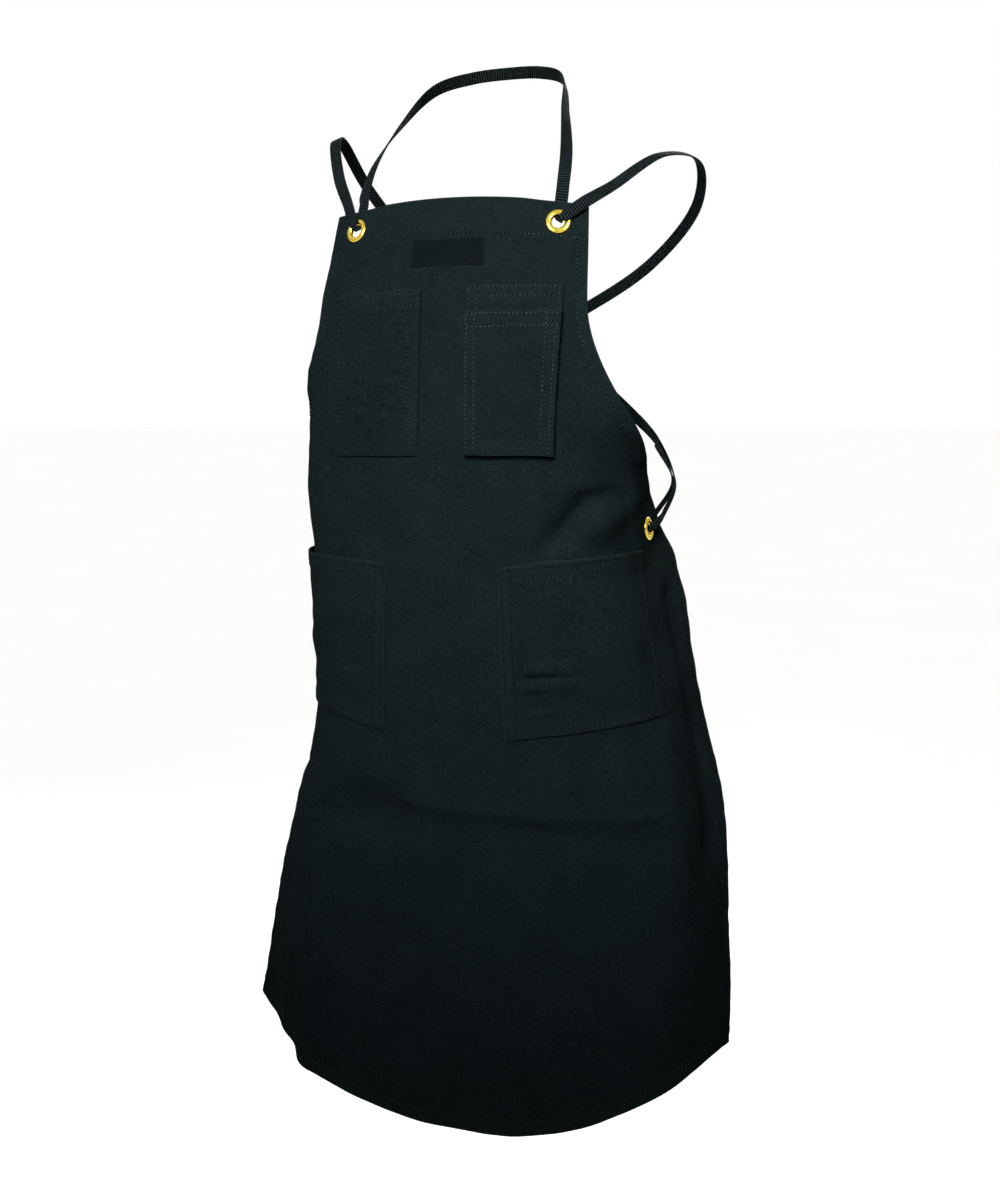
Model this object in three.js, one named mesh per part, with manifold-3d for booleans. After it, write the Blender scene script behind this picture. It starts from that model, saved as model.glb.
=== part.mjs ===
// A bib apron of heavy black cotton, in the form it has when worn, with ribbed webbing that
// crosses on the back. Millimetres, +Z up. The wearer faces -Y and their left side is +X.
// The origin is the point at the nape of the neck where the neck strap hangs.
import * as THREE from 'three';
import { mergeVertices } from 'three/addons/utils/BufferGeometryUtils.js';
import Module from 'manifold-3d';

const wasm = await Module();
wasm.setup();

// The flat cut of the cloth: "across" runs from the middle to the wearer's left, "drop" runs
// down from the top edge.
const APRON_LENGTH = 888;
const BIB_TOP_HALF = 128;
const BIB_LOW_HALF = 134;
const ARMHOLE_DROP = 100;
const ARMHOLE_POWER = 1.6;
const WAIST_DROP = 295;
const WAIST_HALF = 259;
const HEM_HALF = 310;
const SIDE_BOW = 0.5;
const TOP_ARCH = 9;
const HEM_LEFT = { rise: 84, round: 3.4 };
const HEM_RIGHT = { rise: 50, round: 2 };
const CLOTH = 1.2;

// Where the cloth hangs from the nape.
const NECK_DROP = 140;
const NAPE_BACK = 50;

// Sewing and clearances.
const SEAM_GAP = 0.6;
const PATCH_GAP = 0.35;
const MOUTH_ROUND = 0.8;

// Eyelets and webbing.
const EYELET_HOLE = 11.2;
const EYELET_BARREL = 14.4;
const EYELET_FLANGE = 22.6;
const EYELET_DOME = 1.5;
const EYELET_WASHER = 0.8;
const EYELET_SIDES = 18;
const EYELET_ROUND = 0.8;
const EYELET_SHOULDER = 2.8;
const CLOTH_HOLE = 15.2;
const PUNCH_LENGTH = 10;
const FLAT_REACH = 22;
const FLAT_FADE = 44;
const STRAP_WIDE = 12;
const STRAP_NARROW = 7;
const STRAP_THICK = 1.6;
const STRAP_STEP = 11;
const STRAP_GAP = 0.6;
const TAIL_ROWS = 2;
const EDGE_REACH = 46;
const EDGE_HEIGHT = { outer: 3.6, inner: -4.6 };

// Mesh fineness of the cloth.
const BODY_COLUMNS = 28;
const BIB_ROWS = 18;
const SKIRT_ROWS = 25;

// How far the front stands ahead of the middle of the body.
const FRONT = [
  { drop: 0, ahead: 101 },
  { drop: 50, ahead: 110 },
  { drop: 100, ahead: 118 },
  { drop: 200, ahead: 122 },
  { drop: 450, ahead: 126 },
  { drop: APRON_LENGTH, ahead: 134 },
];

// Level sections of the draped cloth, one table for each side of the wearer. From the middle out,
// the cloth turns back slowly up to the angle "brow", then bends round between the two distances
// "from" and "to" until it runs at the angle "side". Angles are in degrees from straight across.
const LEFT_DRAPE = [
  { drop: 0, brow: 22, from: 105, to: 140, side: 28 },
  { drop: 50, brow: 14, from: 102, to: 140, side: 22 },
  { drop: 95, brow: 9, from: 100, to: 140, side: 16 },
  { drop: 150, brow: 6, from: 100, to: 165, side: 20 },
  { drop: 200, brow: 6, from: 90, to: 194, side: 37 },
  { drop: 255, brow: 8, from: 87, to: 224, side: 85 },
  { drop: WAIST_DROP, brow: 10, from: 87, to: 232, side: 89 },
  { drop: 335, brow: 10, from: 84, to: 221, side: 77 },
  { drop: 385, brow: 10, from: 115, to: 223, side: 75 },
  { drop: 450, brow: 11, from: 131, to: 264, side: 82 },
  { drop: 600, brow: 13, from: 165, to: 276, side: 66 },
  { drop: 750, brow: 12, from: 178, to: 276, side: 66 },
  { drop: APRON_LENGTH, brow: 11, from: 176, to: 272, side: 72 },
];
const RIGHT_DRAPE = [
  { drop: 0, brow: 20, from: 105, to: 140, side: 26 },
  { drop: 50, brow: 13, from: 102, to: 140, side: 21 },
  { drop: 95, brow: 8, from: 105, to: 140, side: 16 },
  { drop: 150, brow: 7, from: 112, to: 160, side: 34 },
  { drop: 200, brow: 7, from: 116, to: 176, side: 74 },
  { drop: 255, brow: 8, from: 116, to: 200, side: 90 },
  { drop: WAIST_DROP, brow: 10, from: 110, to: 212, side: 95 },
  { drop: 360, brow: 12, from: 104, to: 212, side: 92 },
  { drop: 450, brow: 12, from: 98, to: 208, side: 88 },
  { drop: 520, brow: 11, from: 106, to: 204, side: 76 },
  { drop: 600, brow: 9, from: 122, to: 196, side: 61 },
  { drop: 750, brow: 8, from: 135, to: 190, side: 50 },
  { drop: APRON_LENGTH, brow: 8, from: 140, to: 190, side: 42 },
];

// Soft folds: each runs from one place of the flat cut to another, stands "rise" proud of the
// cloth (or below it) along that line, and dies away within "reach" to either side.
const FOLDS = [
  { name: 'drag valley', across: 165, drop: 262, toAcross: 74, toDrop: 311, reach: 15, rise: -4 },
  { name: 'drag ridge', across: 178, drop: 284, toAcross: 106, toDrop: 315, reach: 13, rise: 3 },
  { name: 'belly hollow', across: -92, drop: 248, toAcross: -84, toDrop: 318, reach: 34, rise: -4 },
];

// Eyelets on the flat cut.
const EYELETS = [
  { name: 'eyelet_bib_left', across: 102, drop: 25 },
  { name: 'eyelet_bib_right', across: -102, drop: 25 },
  { name: 'eyelet_side_left', across: 223, drop: 305 },
  { name: 'eyelet_side_right', across: -223, drop: 305 },
];

// Colours and finishes.
const COTTON = { color: 0x1b2526, roughness: 0.92, metalness: 0 };
const WEBBING = { color: 0x171f20, roughness: 0.8, metalness: 0 };
const LABEL_WEAVE = { color: 0x101516, roughness: 0.85, metalness: 0 };
const BRASS = { color: 0xc9a23c, roughness: 0.25, metalness: 1 };

const RADIANS = Math.PI / 180;
const SECTION_STEPS = 40;
const NUDGE = 0.5;
const NO_FOLD = 0.01;

function smoothStep(value) {
  const held = Math.min(Math.max(value, 0), 1);
  return held * held * (3 - 2 * held);
}

// A smooth curve through one column of a table, read by drop, with no overshoot between rows.
function readColumn(table, column, drop) {
  const last = table.length - 1;
  const held = Math.min(Math.max(drop, table[0].drop), table[last].drop);
  const step = (row, name) => table[row + 1][name] - table[row][name];
  const grade = (row) => step(row, column) / step(row, 'drop');
  const slope = (row) => {
    if (row === 0) return grade(0);
    if (row === last) return grade(last - 1);
    const before = grade(row - 1);
    const after = grade(row);
    return before * after <= 0 ? 0 : (2 * before * after) / (before + after);
  };
  let row = 0;
  while (row < last - 1 && table[row + 1].drop < held) row += 1;
  const gap = step(row, 'drop');
  const part = (held - table[row].drop) / gap;
  const start = table[row][column] * (1 + 2 * part) * (1 - part) ** 2;
  const end = table[row + 1][column] * part * part * (3 - 2 * part);
  const leaving = slope(row) * gap * part * (1 - part) ** 2;
  const arriving = slope(row + 1) * gap * part * part * (part - 1);
  return start + end + leaving + arriving;
}

// Half the width of the flat cut.
function halfWidth(drop) {
  if (drop <= ARMHOLE_DROP) {
    return BIB_TOP_HALF + ((BIB_LOW_HALF - BIB_TOP_HALF) * drop) / ARMHOLE_DROP;
  }
  if (drop <= WAIST_DROP) {
    const part = (drop - ARMHOLE_DROP) / (WAIST_DROP - ARMHOLE_DROP);
    return BIB_LOW_HALF + (WAIST_HALF - BIB_LOW_HALF) * part ** ARMHOLE_POWER;
  }
  const part = (drop - WAIST_DROP) / (APRON_LENGTH - WAIST_DROP);
  return WAIST_HALF + (HEM_HALF - WAIST_HALF) * part ** SIDE_BOW;
}

// The cloth before its folds: a level section walked out from the middle.
function drapedPoint(across, drop) {
  const table = across < 0 ? RIGHT_DRAPE : LEFT_DRAPE;
  const brow = readColumn(table, 'brow', drop);
  const from = readColumn(table, 'from', drop);
  const to = readColumn(table, 'to', drop);
  const side = readColumn(table, 'side', drop);
  const step = Math.abs(across) / SECTION_STEPS;
  let out = 0;
  let back = -readColumn(FRONT, 'ahead', drop);
  for (let i = 0; i < SECTION_STEPS; i += 1) {
    const walked = (i + 0.5) * step;
    const slow = brow * Math.min(walked / from, 1);
    const angle = slow + (side - brow) * smoothStep((walked - from) / (to - from));
    out += step * Math.cos(angle * RADIANS);
    back += step * Math.sin(angle * RADIANS);
  }
  return new THREE.Vector3(Math.sign(across) * out, back, -NECK_DROP - drop);
}

// The surface's frame at a place of the flat cut, from the points close round it.
function frameOf(pointAt, across, drop) {
  const along = pointAt(across + NUDGE, drop).sub(pointAt(across - NUDGE, drop)).normalize();
  const down = pointAt(across, drop + NUDGE).sub(pointAt(across, drop - NUDGE)).normalize();
  const face = down.clone().cross(along).normalize();
  return { point: pointAt(across, drop), along, down, face };
}

function foldHeight(across, drop) {
  let height = 0;
  for (const fold of FOLDS) {
    const run = new THREE.Vector2(fold.toAcross - fold.across, fold.toDrop - fold.drop);
    const away = new THREE.Vector2(across - fold.across, drop - fold.drop);
    const part = away.dot(run) / run.lengthSq();
    const beside = Math.abs(away.cross(run)) / run.length();
    const beyond = Math.max(-part, part - 1, 0) * run.length();
    const distance = Math.hypot(beside, beyond) / fold.reach;
    height += fold.rise * (1 - smoothStep(distance / 2));
  }
  return height;
}

function foldedPoint(across, drop) {
  const height = foldHeight(across, drop);
  const base = drapedPoint(across, drop);
  if (Math.abs(height) < NO_FOLD) return base;
  return base.addScaledVector(frameOf(drapedPoint, across, drop).face, height);
}

// Each eyelet clamps the cloth flat round it.
for (const eyelet of EYELETS) eyelet.seat = frameOf(foldedPoint, eyelet.across, eyelet.drop);

function clothPoint(across, drop) {
  const point = foldedPoint(across, drop);
  for (const { seat, ...eyelet } of EYELETS) {
    const aside = across - eyelet.across;
    const below = drop - eyelet.drop;
    const reach = Math.hypot(aside, below);
    if (reach < FLAT_FADE) {
      const flat = seat.point.clone().addScaledVector(seat.along, aside).addScaledVector(seat.down, below);
      point.lerp(flat, 1 - smoothStep((reach - FLAT_REACH) / (FLAT_FADE - FLAT_REACH)));
    }
  }
  return point;
}

// A closed sheet between two surfaces given on the same grid of columns and rows.
function closedSheet(columns, rows, outerAt, innerAt) {
  const wide = columns + 1;
  const count = wide * (rows + 1);
  const places = [];
  for (const surface of [outerAt, innerAt]) {
    for (let row = 0; row <= rows; row += 1) {
      for (let column = 0; column <= columns; column += 1) places.push(...surface(column, row).toArray());
    }
  }
  const faces = [];
  const quad = (a, b, c, d) => faces.push(a, b, c, a, c, d);
  const outer = (column, row) => row * wide + column;
  const inner = (column, row) => count + outer(column, row);
  for (let row = 0; row < rows; row += 1) {
    for (let column = 0; column < columns; column += 1) {
      quad(outer(column, row), outer(column, row + 1), outer(column + 1, row + 1), outer(column + 1, row));
      quad(inner(column, row), inner(column + 1, row), inner(column + 1, row + 1), inner(column, row + 1));
    }
    quad(inner(0, row), inner(0, row + 1), outer(0, row + 1), outer(0, row));
    quad(outer(columns, row), outer(columns, row + 1), inner(columns, row + 1), inner(columns, row));
  }
  for (let column = 0; column < columns; column += 1) {
    quad(inner(column, 0), outer(column, 0), outer(column + 1, 0), inner(column + 1, 0));
    quad(outer(column, rows), inner(column, rows), inner(column + 1, rows), outer(column + 1, rows));
  }
  const geometry = new THREE.BufferGeometry();
  geometry.setAttribute('position', new THREE.Float32BufferAttribute(places, 3));
  geometry.setIndex(faces);
  return geometry;
}

function toSolid(geometry) {
  const bare = geometry.clone();
  bare.deleteAttribute('normal');
  bare.deleteAttribute('uv');
  const merged = mergeVertices(bare, 1e-3);
  const vertProperties = new Float32Array(merged.attributes.position.array);
  const triVerts = new Uint32Array(merged.index.array);
  return new wasm.Manifold(new wasm.Mesh({ numProp: 3, vertProperties, triVerts }));
}

function toGeometry(solid) {
  const mesh = solid.getMesh();
  const geometry = new THREE.BufferGeometry();
  geometry.setAttribute('position', new THREE.BufferAttribute(new Float32Array(mesh.vertProperties), 3));
  geometry.setIndex(new THREE.BufferAttribute(new Uint32Array(mesh.triVerts), 1));
  return geometry;
}

// The body: rows run from the arched top edge to the waist corner, then on to the curved hem.
function bodyPlace(column, row) {
  const share = (2 * column) / BODY_COLUMNS - 1;
  const top = TOP_ARCH * share * share;
  const { rise, round } = share < 0 ? HEM_RIGHT : HEM_LEFT;
  const hem = APRON_LENGTH - rise * Math.sin((Math.PI / 2) * Math.abs(share)) ** round;
  const drop = row <= BIB_ROWS
    ? top + ((WAIST_DROP - top) * row) / BIB_ROWS
    : WAIST_DROP + ((hem - WAIST_DROP) * (row - BIB_ROWS)) / SKIRT_ROWS;
  return { across: share * halfWidth(drop), drop };
}

function bodySurface(lift) {
  return (column, row) => {
    const { across, drop } = bodyPlace(column, row);
    const { point, face } = frameOf(clothPoint, across, drop);
    return point.addScaledVector(face, lift);
  };
}

function bodyGeometry() {
  const outside = bodySurface(CLOTH / 2);
  const inside = bodySurface(-CLOTH / 2);
  let solid = toSolid(closedSheet(BODY_COLUMNS, BIB_ROWS + SKIRT_ROWS, outside, inside));
  for (const { seat } of EYELETS) {
    const punch = new THREE.CylinderGeometry(CLOTH_HOLE / 2, CLOTH_HOLE / 2, PUNCH_LENGTH, EYELET_SIDES);
    punch.applyQuaternion(new THREE.Quaternion().setFromUnitVectors(new THREE.Vector3(0, 1, 0), seat.face));
    punch.translate(...seat.point.toArray());
    solid = solid.subtract(toSolid(punch));
  }
  return toGeometry(solid);
}

// Patches sewn on the cloth. "near" and "far" are the distances of the side seams from the middle,
// at the mouth and at the foot, and "lift" is how far the mouth stands open.
const PATCHES = [
  {
    name: 'pencil_pocket', side: -1, near: 22, far: 110, footNear: 25, footFar: 113,
    top: 84, outerTop: 87, foot: 236, outerFoot: 237, lift: 2.4, columns: 10, rows: 9,
  },
  {
    name: 'phone_pocket_rear', side: 1, near: 22, far: 113, footNear: 23, footFar: 107,
    top: 81, outerTop: 82, foot: 235, outerFoot: 235, lift: 1.6, columns: 10, rows: 9,
  },
  {
    name: 'phone_pocket_front', side: 1, near: 22, far: 113, footNear: 23, footFar: 107,
    top: 104, outerTop: 105, foot: 235, outerFoot: 235, lift: 2.2, columns: 10, rows: 9, over: 1,
  },
  {
    name: 'hip_pocket_left', side: 1, near: 54, far: 200, footNear: 62, footFar: 215,
    top: 337, outerTop: 323, foot: 500, outerFoot: 472, lift: 2.6, columns: 14, rows: 9,
  },
  {
    name: 'hip_pocket_right', side: -1, near: 60, far: 204, footNear: 61, footFar: 214,
    top: 337, outerTop: 328, foot: 500, outerFoot: 474, lift: 2.6, columns: 14, rows: 9,
  },
];

function mix(start, end, part) {
  return start + (end - start) * part;
}

// The far side's seam lies at share 1 and the near side's at 0. The mouth is at fall 0.
function patchPlace(patch, share, fall) {
  const near = mix(patch.near, patch.footNear, fall);
  const far = mix(patch.far, patch.footFar, fall);
  const top = mix(patch.top, patch.outerTop, share);
  const foot = mix(patch.foot, patch.outerFoot, share);
  return { across: patch.side * mix(near, far, share), drop: mix(top, foot, fall) };
}

function openMouth(share, fall) {
  return Math.sin(Math.PI * share) ** MOUTH_ROUND * (1 - fall * fall);
}

function patchSurface(patch, lift) {
  return (column, row) => {
    const share = patch.side > 0 ? column / patch.columns : 1 - column / patch.columns;
    const fall = row / patch.rows;
    const { across, drop } = patchPlace(patch, share, fall);
    const { point, face } = frameOf(clothPoint, across, drop);
    const layers = patch.over ? CLOTH + SEAM_GAP + PATCHES[1].lift * openMouth(share, fall) : 0;
    const open = patch.lift * openMouth(share, fall);
    return point.addScaledVector(face, CLOTH / 2 + SEAM_GAP + layers + open + lift);
  };
}

function patchGeometry(patch) {
  return closedSheet(patch.columns, patch.rows, patchSurface(patch, CLOTH), patchSurface(patch, 0));
}

// The label: a thin woven patch on the middle of the bib.
const LABEL = { across: 0, drop: 50, half: 36, tall: 25, thick: 1, columns: 8, rows: 3 };

function labelGeometry() {
  const surface = (lift) => (column, row) => {
    const across = LABEL.across + LABEL.half * ((2 * column) / LABEL.columns - 1);
    const drop = LABEL.drop + LABEL.tall * (row / LABEL.rows - 0.5);
    const { point, face } = frameOf(clothPoint, across, drop);
    return point.addScaledVector(face, CLOTH / 2 + PATCH_GAP + lift);
  };
  return closedSheet(LABEL.columns, LABEL.rows, surface(LABEL.thick), surface(0));
}

// An eyelet: a barrel through the cloth, a domed flange in front and a flat washer behind.
function eyeletGeometry() {
  const clamp = CLOTH / 2 + PATCH_GAP;
  const hole = EYELET_HOLE / 2;
  const barrel = EYELET_BARREL / 2;
  const flange = EYELET_FLANGE / 2;
  const profile = [
    [hole, -clamp - EYELET_WASHER / 2],
    [hole + EYELET_ROUND, -clamp - EYELET_WASHER],
    [flange - EYELET_ROUND, -clamp - EYELET_WASHER],
    [flange - EYELET_ROUND / 2, -clamp],
    [barrel, -clamp],
    [barrel, clamp],
    [flange, clamp],
    [flange - EYELET_ROUND, clamp + EYELET_DOME - EYELET_ROUND / 2],
    [flange - EYELET_SHOULDER, clamp + EYELET_DOME],
    [hole + EYELET_ROUND, clamp + EYELET_DOME - EYELET_ROUND / 3],
    [hole, clamp + EYELET_DOME - EYELET_ROUND],
    [hole, -clamp - EYELET_WASHER / 2],
  ];
  return new THREE.LatheGeometry(profile.map(([x, y]) => new THREE.Vector2(x, y)), EYELET_SIDES);
}

// Webbing: a flat ribbon through stations that each give a place, the way that its outer face
// looks and its width there.
function ribbonGeometry(stations) {
  const route = new THREE.CatmullRomCurve3(stations.map((station) => station.at), false, 'centripetal');
  const sections = [];
  for (let i = 0; i < stations.length - 1; i += 1) {
    const gap = stations[i].at.distanceTo(stations[i + 1].at);
    const pieces = Math.max(1, Math.round(gap / STRAP_STEP));
    for (let piece = 0; piece < pieces; piece += 1) sections.push(i + piece / pieces);
  }
  sections.push(stations.length - 1);
  const tangentAt = (place) => {
    const row = place === 0 ? 0 : stations.length - 2;
    if (place > 0 && place < stations.length - 1) return route.getTangent(place / (stations.length - 1));
    return stations[row + 1].at.clone().sub(stations[row].at).normalize();
  };
  const corners = [];
  for (const place of sections) {
    const row = Math.min(Math.floor(place), stations.length - 2);
    const part = place - row;
    const along = tangentAt(place);
    const face = stations[row].face.clone().lerp(stations[row + 1].face, part);
    face.addScaledVector(along, -face.dot(along)).normalize();
    const width = mix(stations[row].wide, stations[row + 1].wide, part);
    const wide = along.clone().cross(face).multiplyScalar(width / 2);
    const thick = face.multiplyScalar(STRAP_THICK / 2);
    const at = route.getPoint(place / (stations.length - 1));
    for (const [w, t] of [[1, 1], [-1, 1], [-1, -1], [1, -1]]) {
      corners.push(at.clone().addScaledVector(wide, w).addScaledVector(thick, t));
    }
  }
  const faces = [];
  const quad = (a, b, c, d) => faces.push(a, b, c, a, c, d);
  for (let i = 0; i < sections.length - 1; i += 1) {
    for (let side = 0; side < 4; side += 1) {
      const next = (side + 1) % 4;
      quad(4 * i + 4 + side, 4 * i + 4 + next, 4 * i + next, 4 * i + side);
    }
  }
  const last = 4 * (sections.length - 1);
  quad(0, 1, 2, 3);
  quad(last + 3, last + 2, last + 1, last);
  const geometry = new THREE.BufferGeometry();
  const places = corners.flatMap((corner) => corner.toArray());
  geometry.setAttribute('position', new THREE.Float32BufferAttribute(places, 3));
  geometry.setIndex(faces);
  return geometry;
}

// The webbing's way into an eyelet, from a place on the cloth to the middle of the hole: "reach"
// is the distance from the hole's middle, "height" the share of the height at which it clears the
// eyelet, and "over" is 1 where it lies flat on the cloth and 0 where it stands in the hole.
const HOLE_PATH = [
  { reach: 28, height: 1, wide: STRAP_WIDE, over: 1 },
  { reach: 15, height: 1, wide: STRAP_WIDE, over: 1 },
  { reach: 9, height: 1, wide: STRAP_WIDE - 1, over: 1 },
  { reach: 5.5, height: 1, wide: STRAP_NARROW + 1.5, over: 0.95 },
  { reach: 3.2, height: 0.8, wide: STRAP_NARROW, over: 0.6 },
  { reach: 1.8, height: 0.45, wide: STRAP_NARROW, over: 0.2 },
  { reach: 1.2, height: 0.2, wide: STRAP_NARROW, over: 0 },
  { reach: 1.2, height: 0.07, wide: STRAP_NARROW, over: 0 },
];

// "way" is the direction on the cloth that the webbing comes from and "rim" the part of the rim
// that it bends round. "side" is 1 on the outside of the cloth and -1 on the inside.
function threadStations(eyelet, way, rim, side) {
  const proud = side > 0 ? EYELET_DOME : EYELET_WASHER;
  const clear = CLOTH / 2 + PATCH_GAP + proud + STRAP_GAP + STRAP_THICK / 2;
  return HOLE_PATH.map(({ reach, height, wide, over }) => {
    const heading = rim.clone().lerp(way, over).normalize();
    const across = eyelet.across + reach * heading.x;
    const drop = eyelet.drop - reach * heading.y;
    const { point, along, down, face } = frameOf(clothPoint, across, drop);
    const outward = along.multiplyScalar(rim.x).addScaledVector(down, -rim.y);
    const at = point.addScaledVector(face, side * height * clear);
    const looks = face.multiplyScalar(side * over).addScaledVector(outward, over - 1).normalize();
    return { at, face: looks, wide };
  });
}

// Routes of the webbing over the body, chosen by hand: x, y and z of each place, then the way
// that its outer face looks.
const NECK_ROUTE = [
  { x: 100, y: -76, z: -132, faceX: -0.2, faceY: 1, faceZ: -0.2 },
  { x: 97, y: -58, z: -100, faceX: -0.5, faceY: 0.7, faceZ: -0.5 },
  { x: 84, y: -22, z: -56, faceX: -0.9, faceY: 0.3, faceZ: -0.4 },
  { x: 66, y: 22, z: -16, faceX: -0.9, faceY: -0.3, faceZ: -0.2 },
  { x: 36, y: 44, z: -3, faceX: -0.5, faceY: -0.85, faceZ: -0.1 },
];
const LEFT_ROUTE = [
  { x: 141, y: -60, z: -132, faceX: 0.2, faceY: -0.8, faceZ: 0.6 },
  { x: 176, y: -14, z: -99, faceX: 0.3, faceY: -0.2, faceZ: 1 },
  { x: 200, y: 24, z: -100, faceX: 0.6, faceY: 0.2, faceZ: 0.8 },
  { x: 190, y: 66, z: -136, faceX: 0.5, faceY: 0.8, faceZ: 0.4 },
  { x: 138, y: 96, z: -186, faceX: 0.3, faceY: 1, faceZ: 0.1 },
  { x: 68, y: 112, z: -226, faceX: 0.1, faceY: 1, faceZ: 0.1 },
  { x: 0, y: 118, z: -256, faceX: 0, faceY: 1, faceZ: 0 },
  { x: -60, y: 110, z: -292, faceX: -0.2, faceY: 1, faceZ: 0 },
  { x: -112, y: 97, z: -332, faceX: -0.4, faceY: 0.9, faceZ: 0 },
  { x: -152, y: 76, z: -366, faceX: -0.8, faceY: 0.55, faceZ: 0.15 },
  { x: -178, y: 46, z: -405, faceX: -0.98, faceY: 0.05, faceZ: 0.2 },
];
const RIGHT_ROUTE = [
  { x: -132, y: -65, z: -112, faceX: -0.2, faceY: -0.8, faceZ: 0.6 },
  { x: -158, y: -22, z: -68, faceX: -0.3, faceY: -0.4, faceZ: 0.9 },
  { x: -168, y: 14, z: -64, faceX: -0.4, faceY: 0.3, faceZ: 0.9 },
  { x: -160, y: 56, z: -104, faceX: -0.3, faceY: 0.8, faceZ: 0.5 },
  { x: -118, y: 90, z: -166, faceX: -0.2, faceY: 1, faceZ: 0.2 },
  { x: -60, y: 107, z: -216, faceX: -0.1, faceY: 1, faceZ: 0.1 },
  { x: 0, y: 115, z: -256, faceX: 0, faceY: 1, faceZ: 0 },
  { x: 60, y: 110, z: -292, faceX: 0.2, faceY: 1, faceZ: 0 },
  { x: 112, y: 97, z: -332, faceX: 0.4, faceY: 0.9, faceZ: 0 },
  { x: 152, y: 76, z: -366, faceX: 0.8, faceY: 0.55, faceZ: 0.15 },
  { x: 178, y: 46, z: -405, faceX: 0.98, faceY: 0.05, faceZ: 0.2 },
];

function routeStation({ x, y, z, faceX, faceY, faceZ }, mirror = 1) {
  return {
    at: new THREE.Vector3(mirror * x, y, z),
    face: new THREE.Vector3(mirror * faceX, faceY, faceZ).normalize(),
    wide: STRAP_WIDE,
  };
}

const [BIB_LEFT, BIB_RIGHT, SIDE_LEFT, SIDE_RIGHT] = EYELETS;

// Directions in which the webbing leaves the eyelets: across the cloth, then up it.
const WAYS = {
  neckLeft: new THREE.Vector2(0.05, 1).normalize(),
  neckRight: new THREE.Vector2(0.05, 1).normalize(),
  shoulderLeft: new THREE.Vector2(0.8, 0.6).normalize(),
  shoulderRight: new THREE.Vector2(-0.45, 0.9).normalize(),
  sideLeft: new THREE.Vector2(0.97, 0.22).normalize(),
  sideRight: new THREE.Vector2(-0.97, 0.22).normalize(),
};

function between(way, other) {
  return way.clone().add(other).normalize();
}

function neckStations() {
  const rimRight = between(WAYS.neckRight, WAYS.shoulderRight);
  const rimLeft = between(WAYS.neckLeft, WAYS.shoulderLeft);
  const right = threadStations(BIB_RIGHT, WAYS.neckRight, rimRight, -1).reverse();
  const left = threadStations(BIB_LEFT, WAYS.neckLeft, rimLeft, -1);
  const nape = { x: 0, y: NAPE_BACK, z: 0, faceX: 0, faceY: -1, faceZ: -0.1 };
  const rightRoute = NECK_ROUTE.map((row) => routeStation(row, -1));
  const leftRoute = NECK_ROUTE.map((row) => routeStation(row)).reverse();
  return [...right, ...rightRoute, routeStation(nape), ...leftRoute, ...left];
}

// Where a back strap (height above the cloth) or its end (below it) passes the cloth's edge.
function edgeStation(eyelet, way, height) {
  const across = eyelet.across + EDGE_REACH * way.x;
  const drop = eyelet.drop - EDGE_REACH * way.y;
  const { point, face } = frameOf(clothPoint, across, drop);
  const at = point.addScaledVector(face, height);
  return { at, face: face.multiplyScalar(Math.sign(height)), wide: STRAP_WIDE };
}

// A back strap goes through its side eyelet and turns back up, and its end lies under the strap.
function backStations({ bib, shoulderWay, neckWay }, route, side, sideWay) {
  const bibRim = between(neckWay, shoulderWay);
  const start = threadStations(bib, shoulderWay, bibRim, 1).reverse();
  const entry = threadStations(side, sideWay, sideWay, 1);
  const turn = threadStations(side, sideWay, sideWay, -1).reverse().slice(1);
  const middle = route.map((row) => routeStation(row));
  const tail = middle.slice(-TAIL_ROWS).reverse().map(({ at, face, wide }) => ({
    at: at.clone().addScaledVector(face, -STRAP_THICK - STRAP_GAP),
    face: face.clone().negate(),
    wide,
  }));
  const above = edgeStation(side, sideWay, EDGE_HEIGHT.outer);
  const below = edgeStation(side, sideWay, EDGE_HEIGHT.inner);
  return [...start, ...middle, above, ...entry, ...turn, below, ...tail];
}

const apron = new THREE.Group();
apron.name = 'apron';
apron.position.y = -NAPE_BACK;

function addPiece(name, geometry, finish) {
  const mesh = new THREE.Mesh(geometry, new THREE.MeshStandardMaterial(finish));
  mesh.name = name;
  mesh.geometry.computeVertexNormals();
  apron.add(mesh);
  return mesh;
}

addPiece('apron_body', bodyGeometry(), COTTON);
for (const patch of PATCHES) addPiece(patch.name, patchGeometry(patch), COTTON);
addPiece('label', labelGeometry(), LABEL_WEAVE);
for (const { name, seat } of EYELETS) {
  const mesh = addPiece(name, eyeletGeometry(), BRASS);
  mesh.quaternion.setFromUnitVectors(new THREE.Vector3(0, 1, 0), seat.face);
  mesh.position.copy(seat.point);
}
addPiece('neck_strap', ribbonGeometry(neckStations()), WEBBING);
const fromLeft = { bib: BIB_LEFT, shoulderWay: WAYS.shoulderLeft, neckWay: WAYS.neckLeft };
const fromRight = { bib: BIB_RIGHT, shoulderWay: WAYS.shoulderRight, neckWay: WAYS.neckRight };
const leftStations = backStations(fromLeft, LEFT_ROUTE, SIDE_RIGHT, WAYS.sideRight);
const rightStations = backStations(fromRight, RIGHT_ROUTE, SIDE_LEFT, WAYS.sideLeft);
addPiece('back_strap_left', ribbonGeometry(leftStations), WEBBING);
addPiece('back_strap_right', ribbonGeometry(rightStations), WEBBING);

export default apron;
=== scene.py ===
"""Dresses a cross-back bib apron of black cotton, from its cloth and pockets to its webbing and stage."""
import math
from collections import namedtuple
from functools import partial, reduce, wraps

import bpy
import numpy as np
from bpy.props import FloatProperty, FloatVectorProperty, PointerProperty
from bpy.types import Operator, Panel, PropertyGroup
from mathutils import Matrix, Vector


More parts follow.
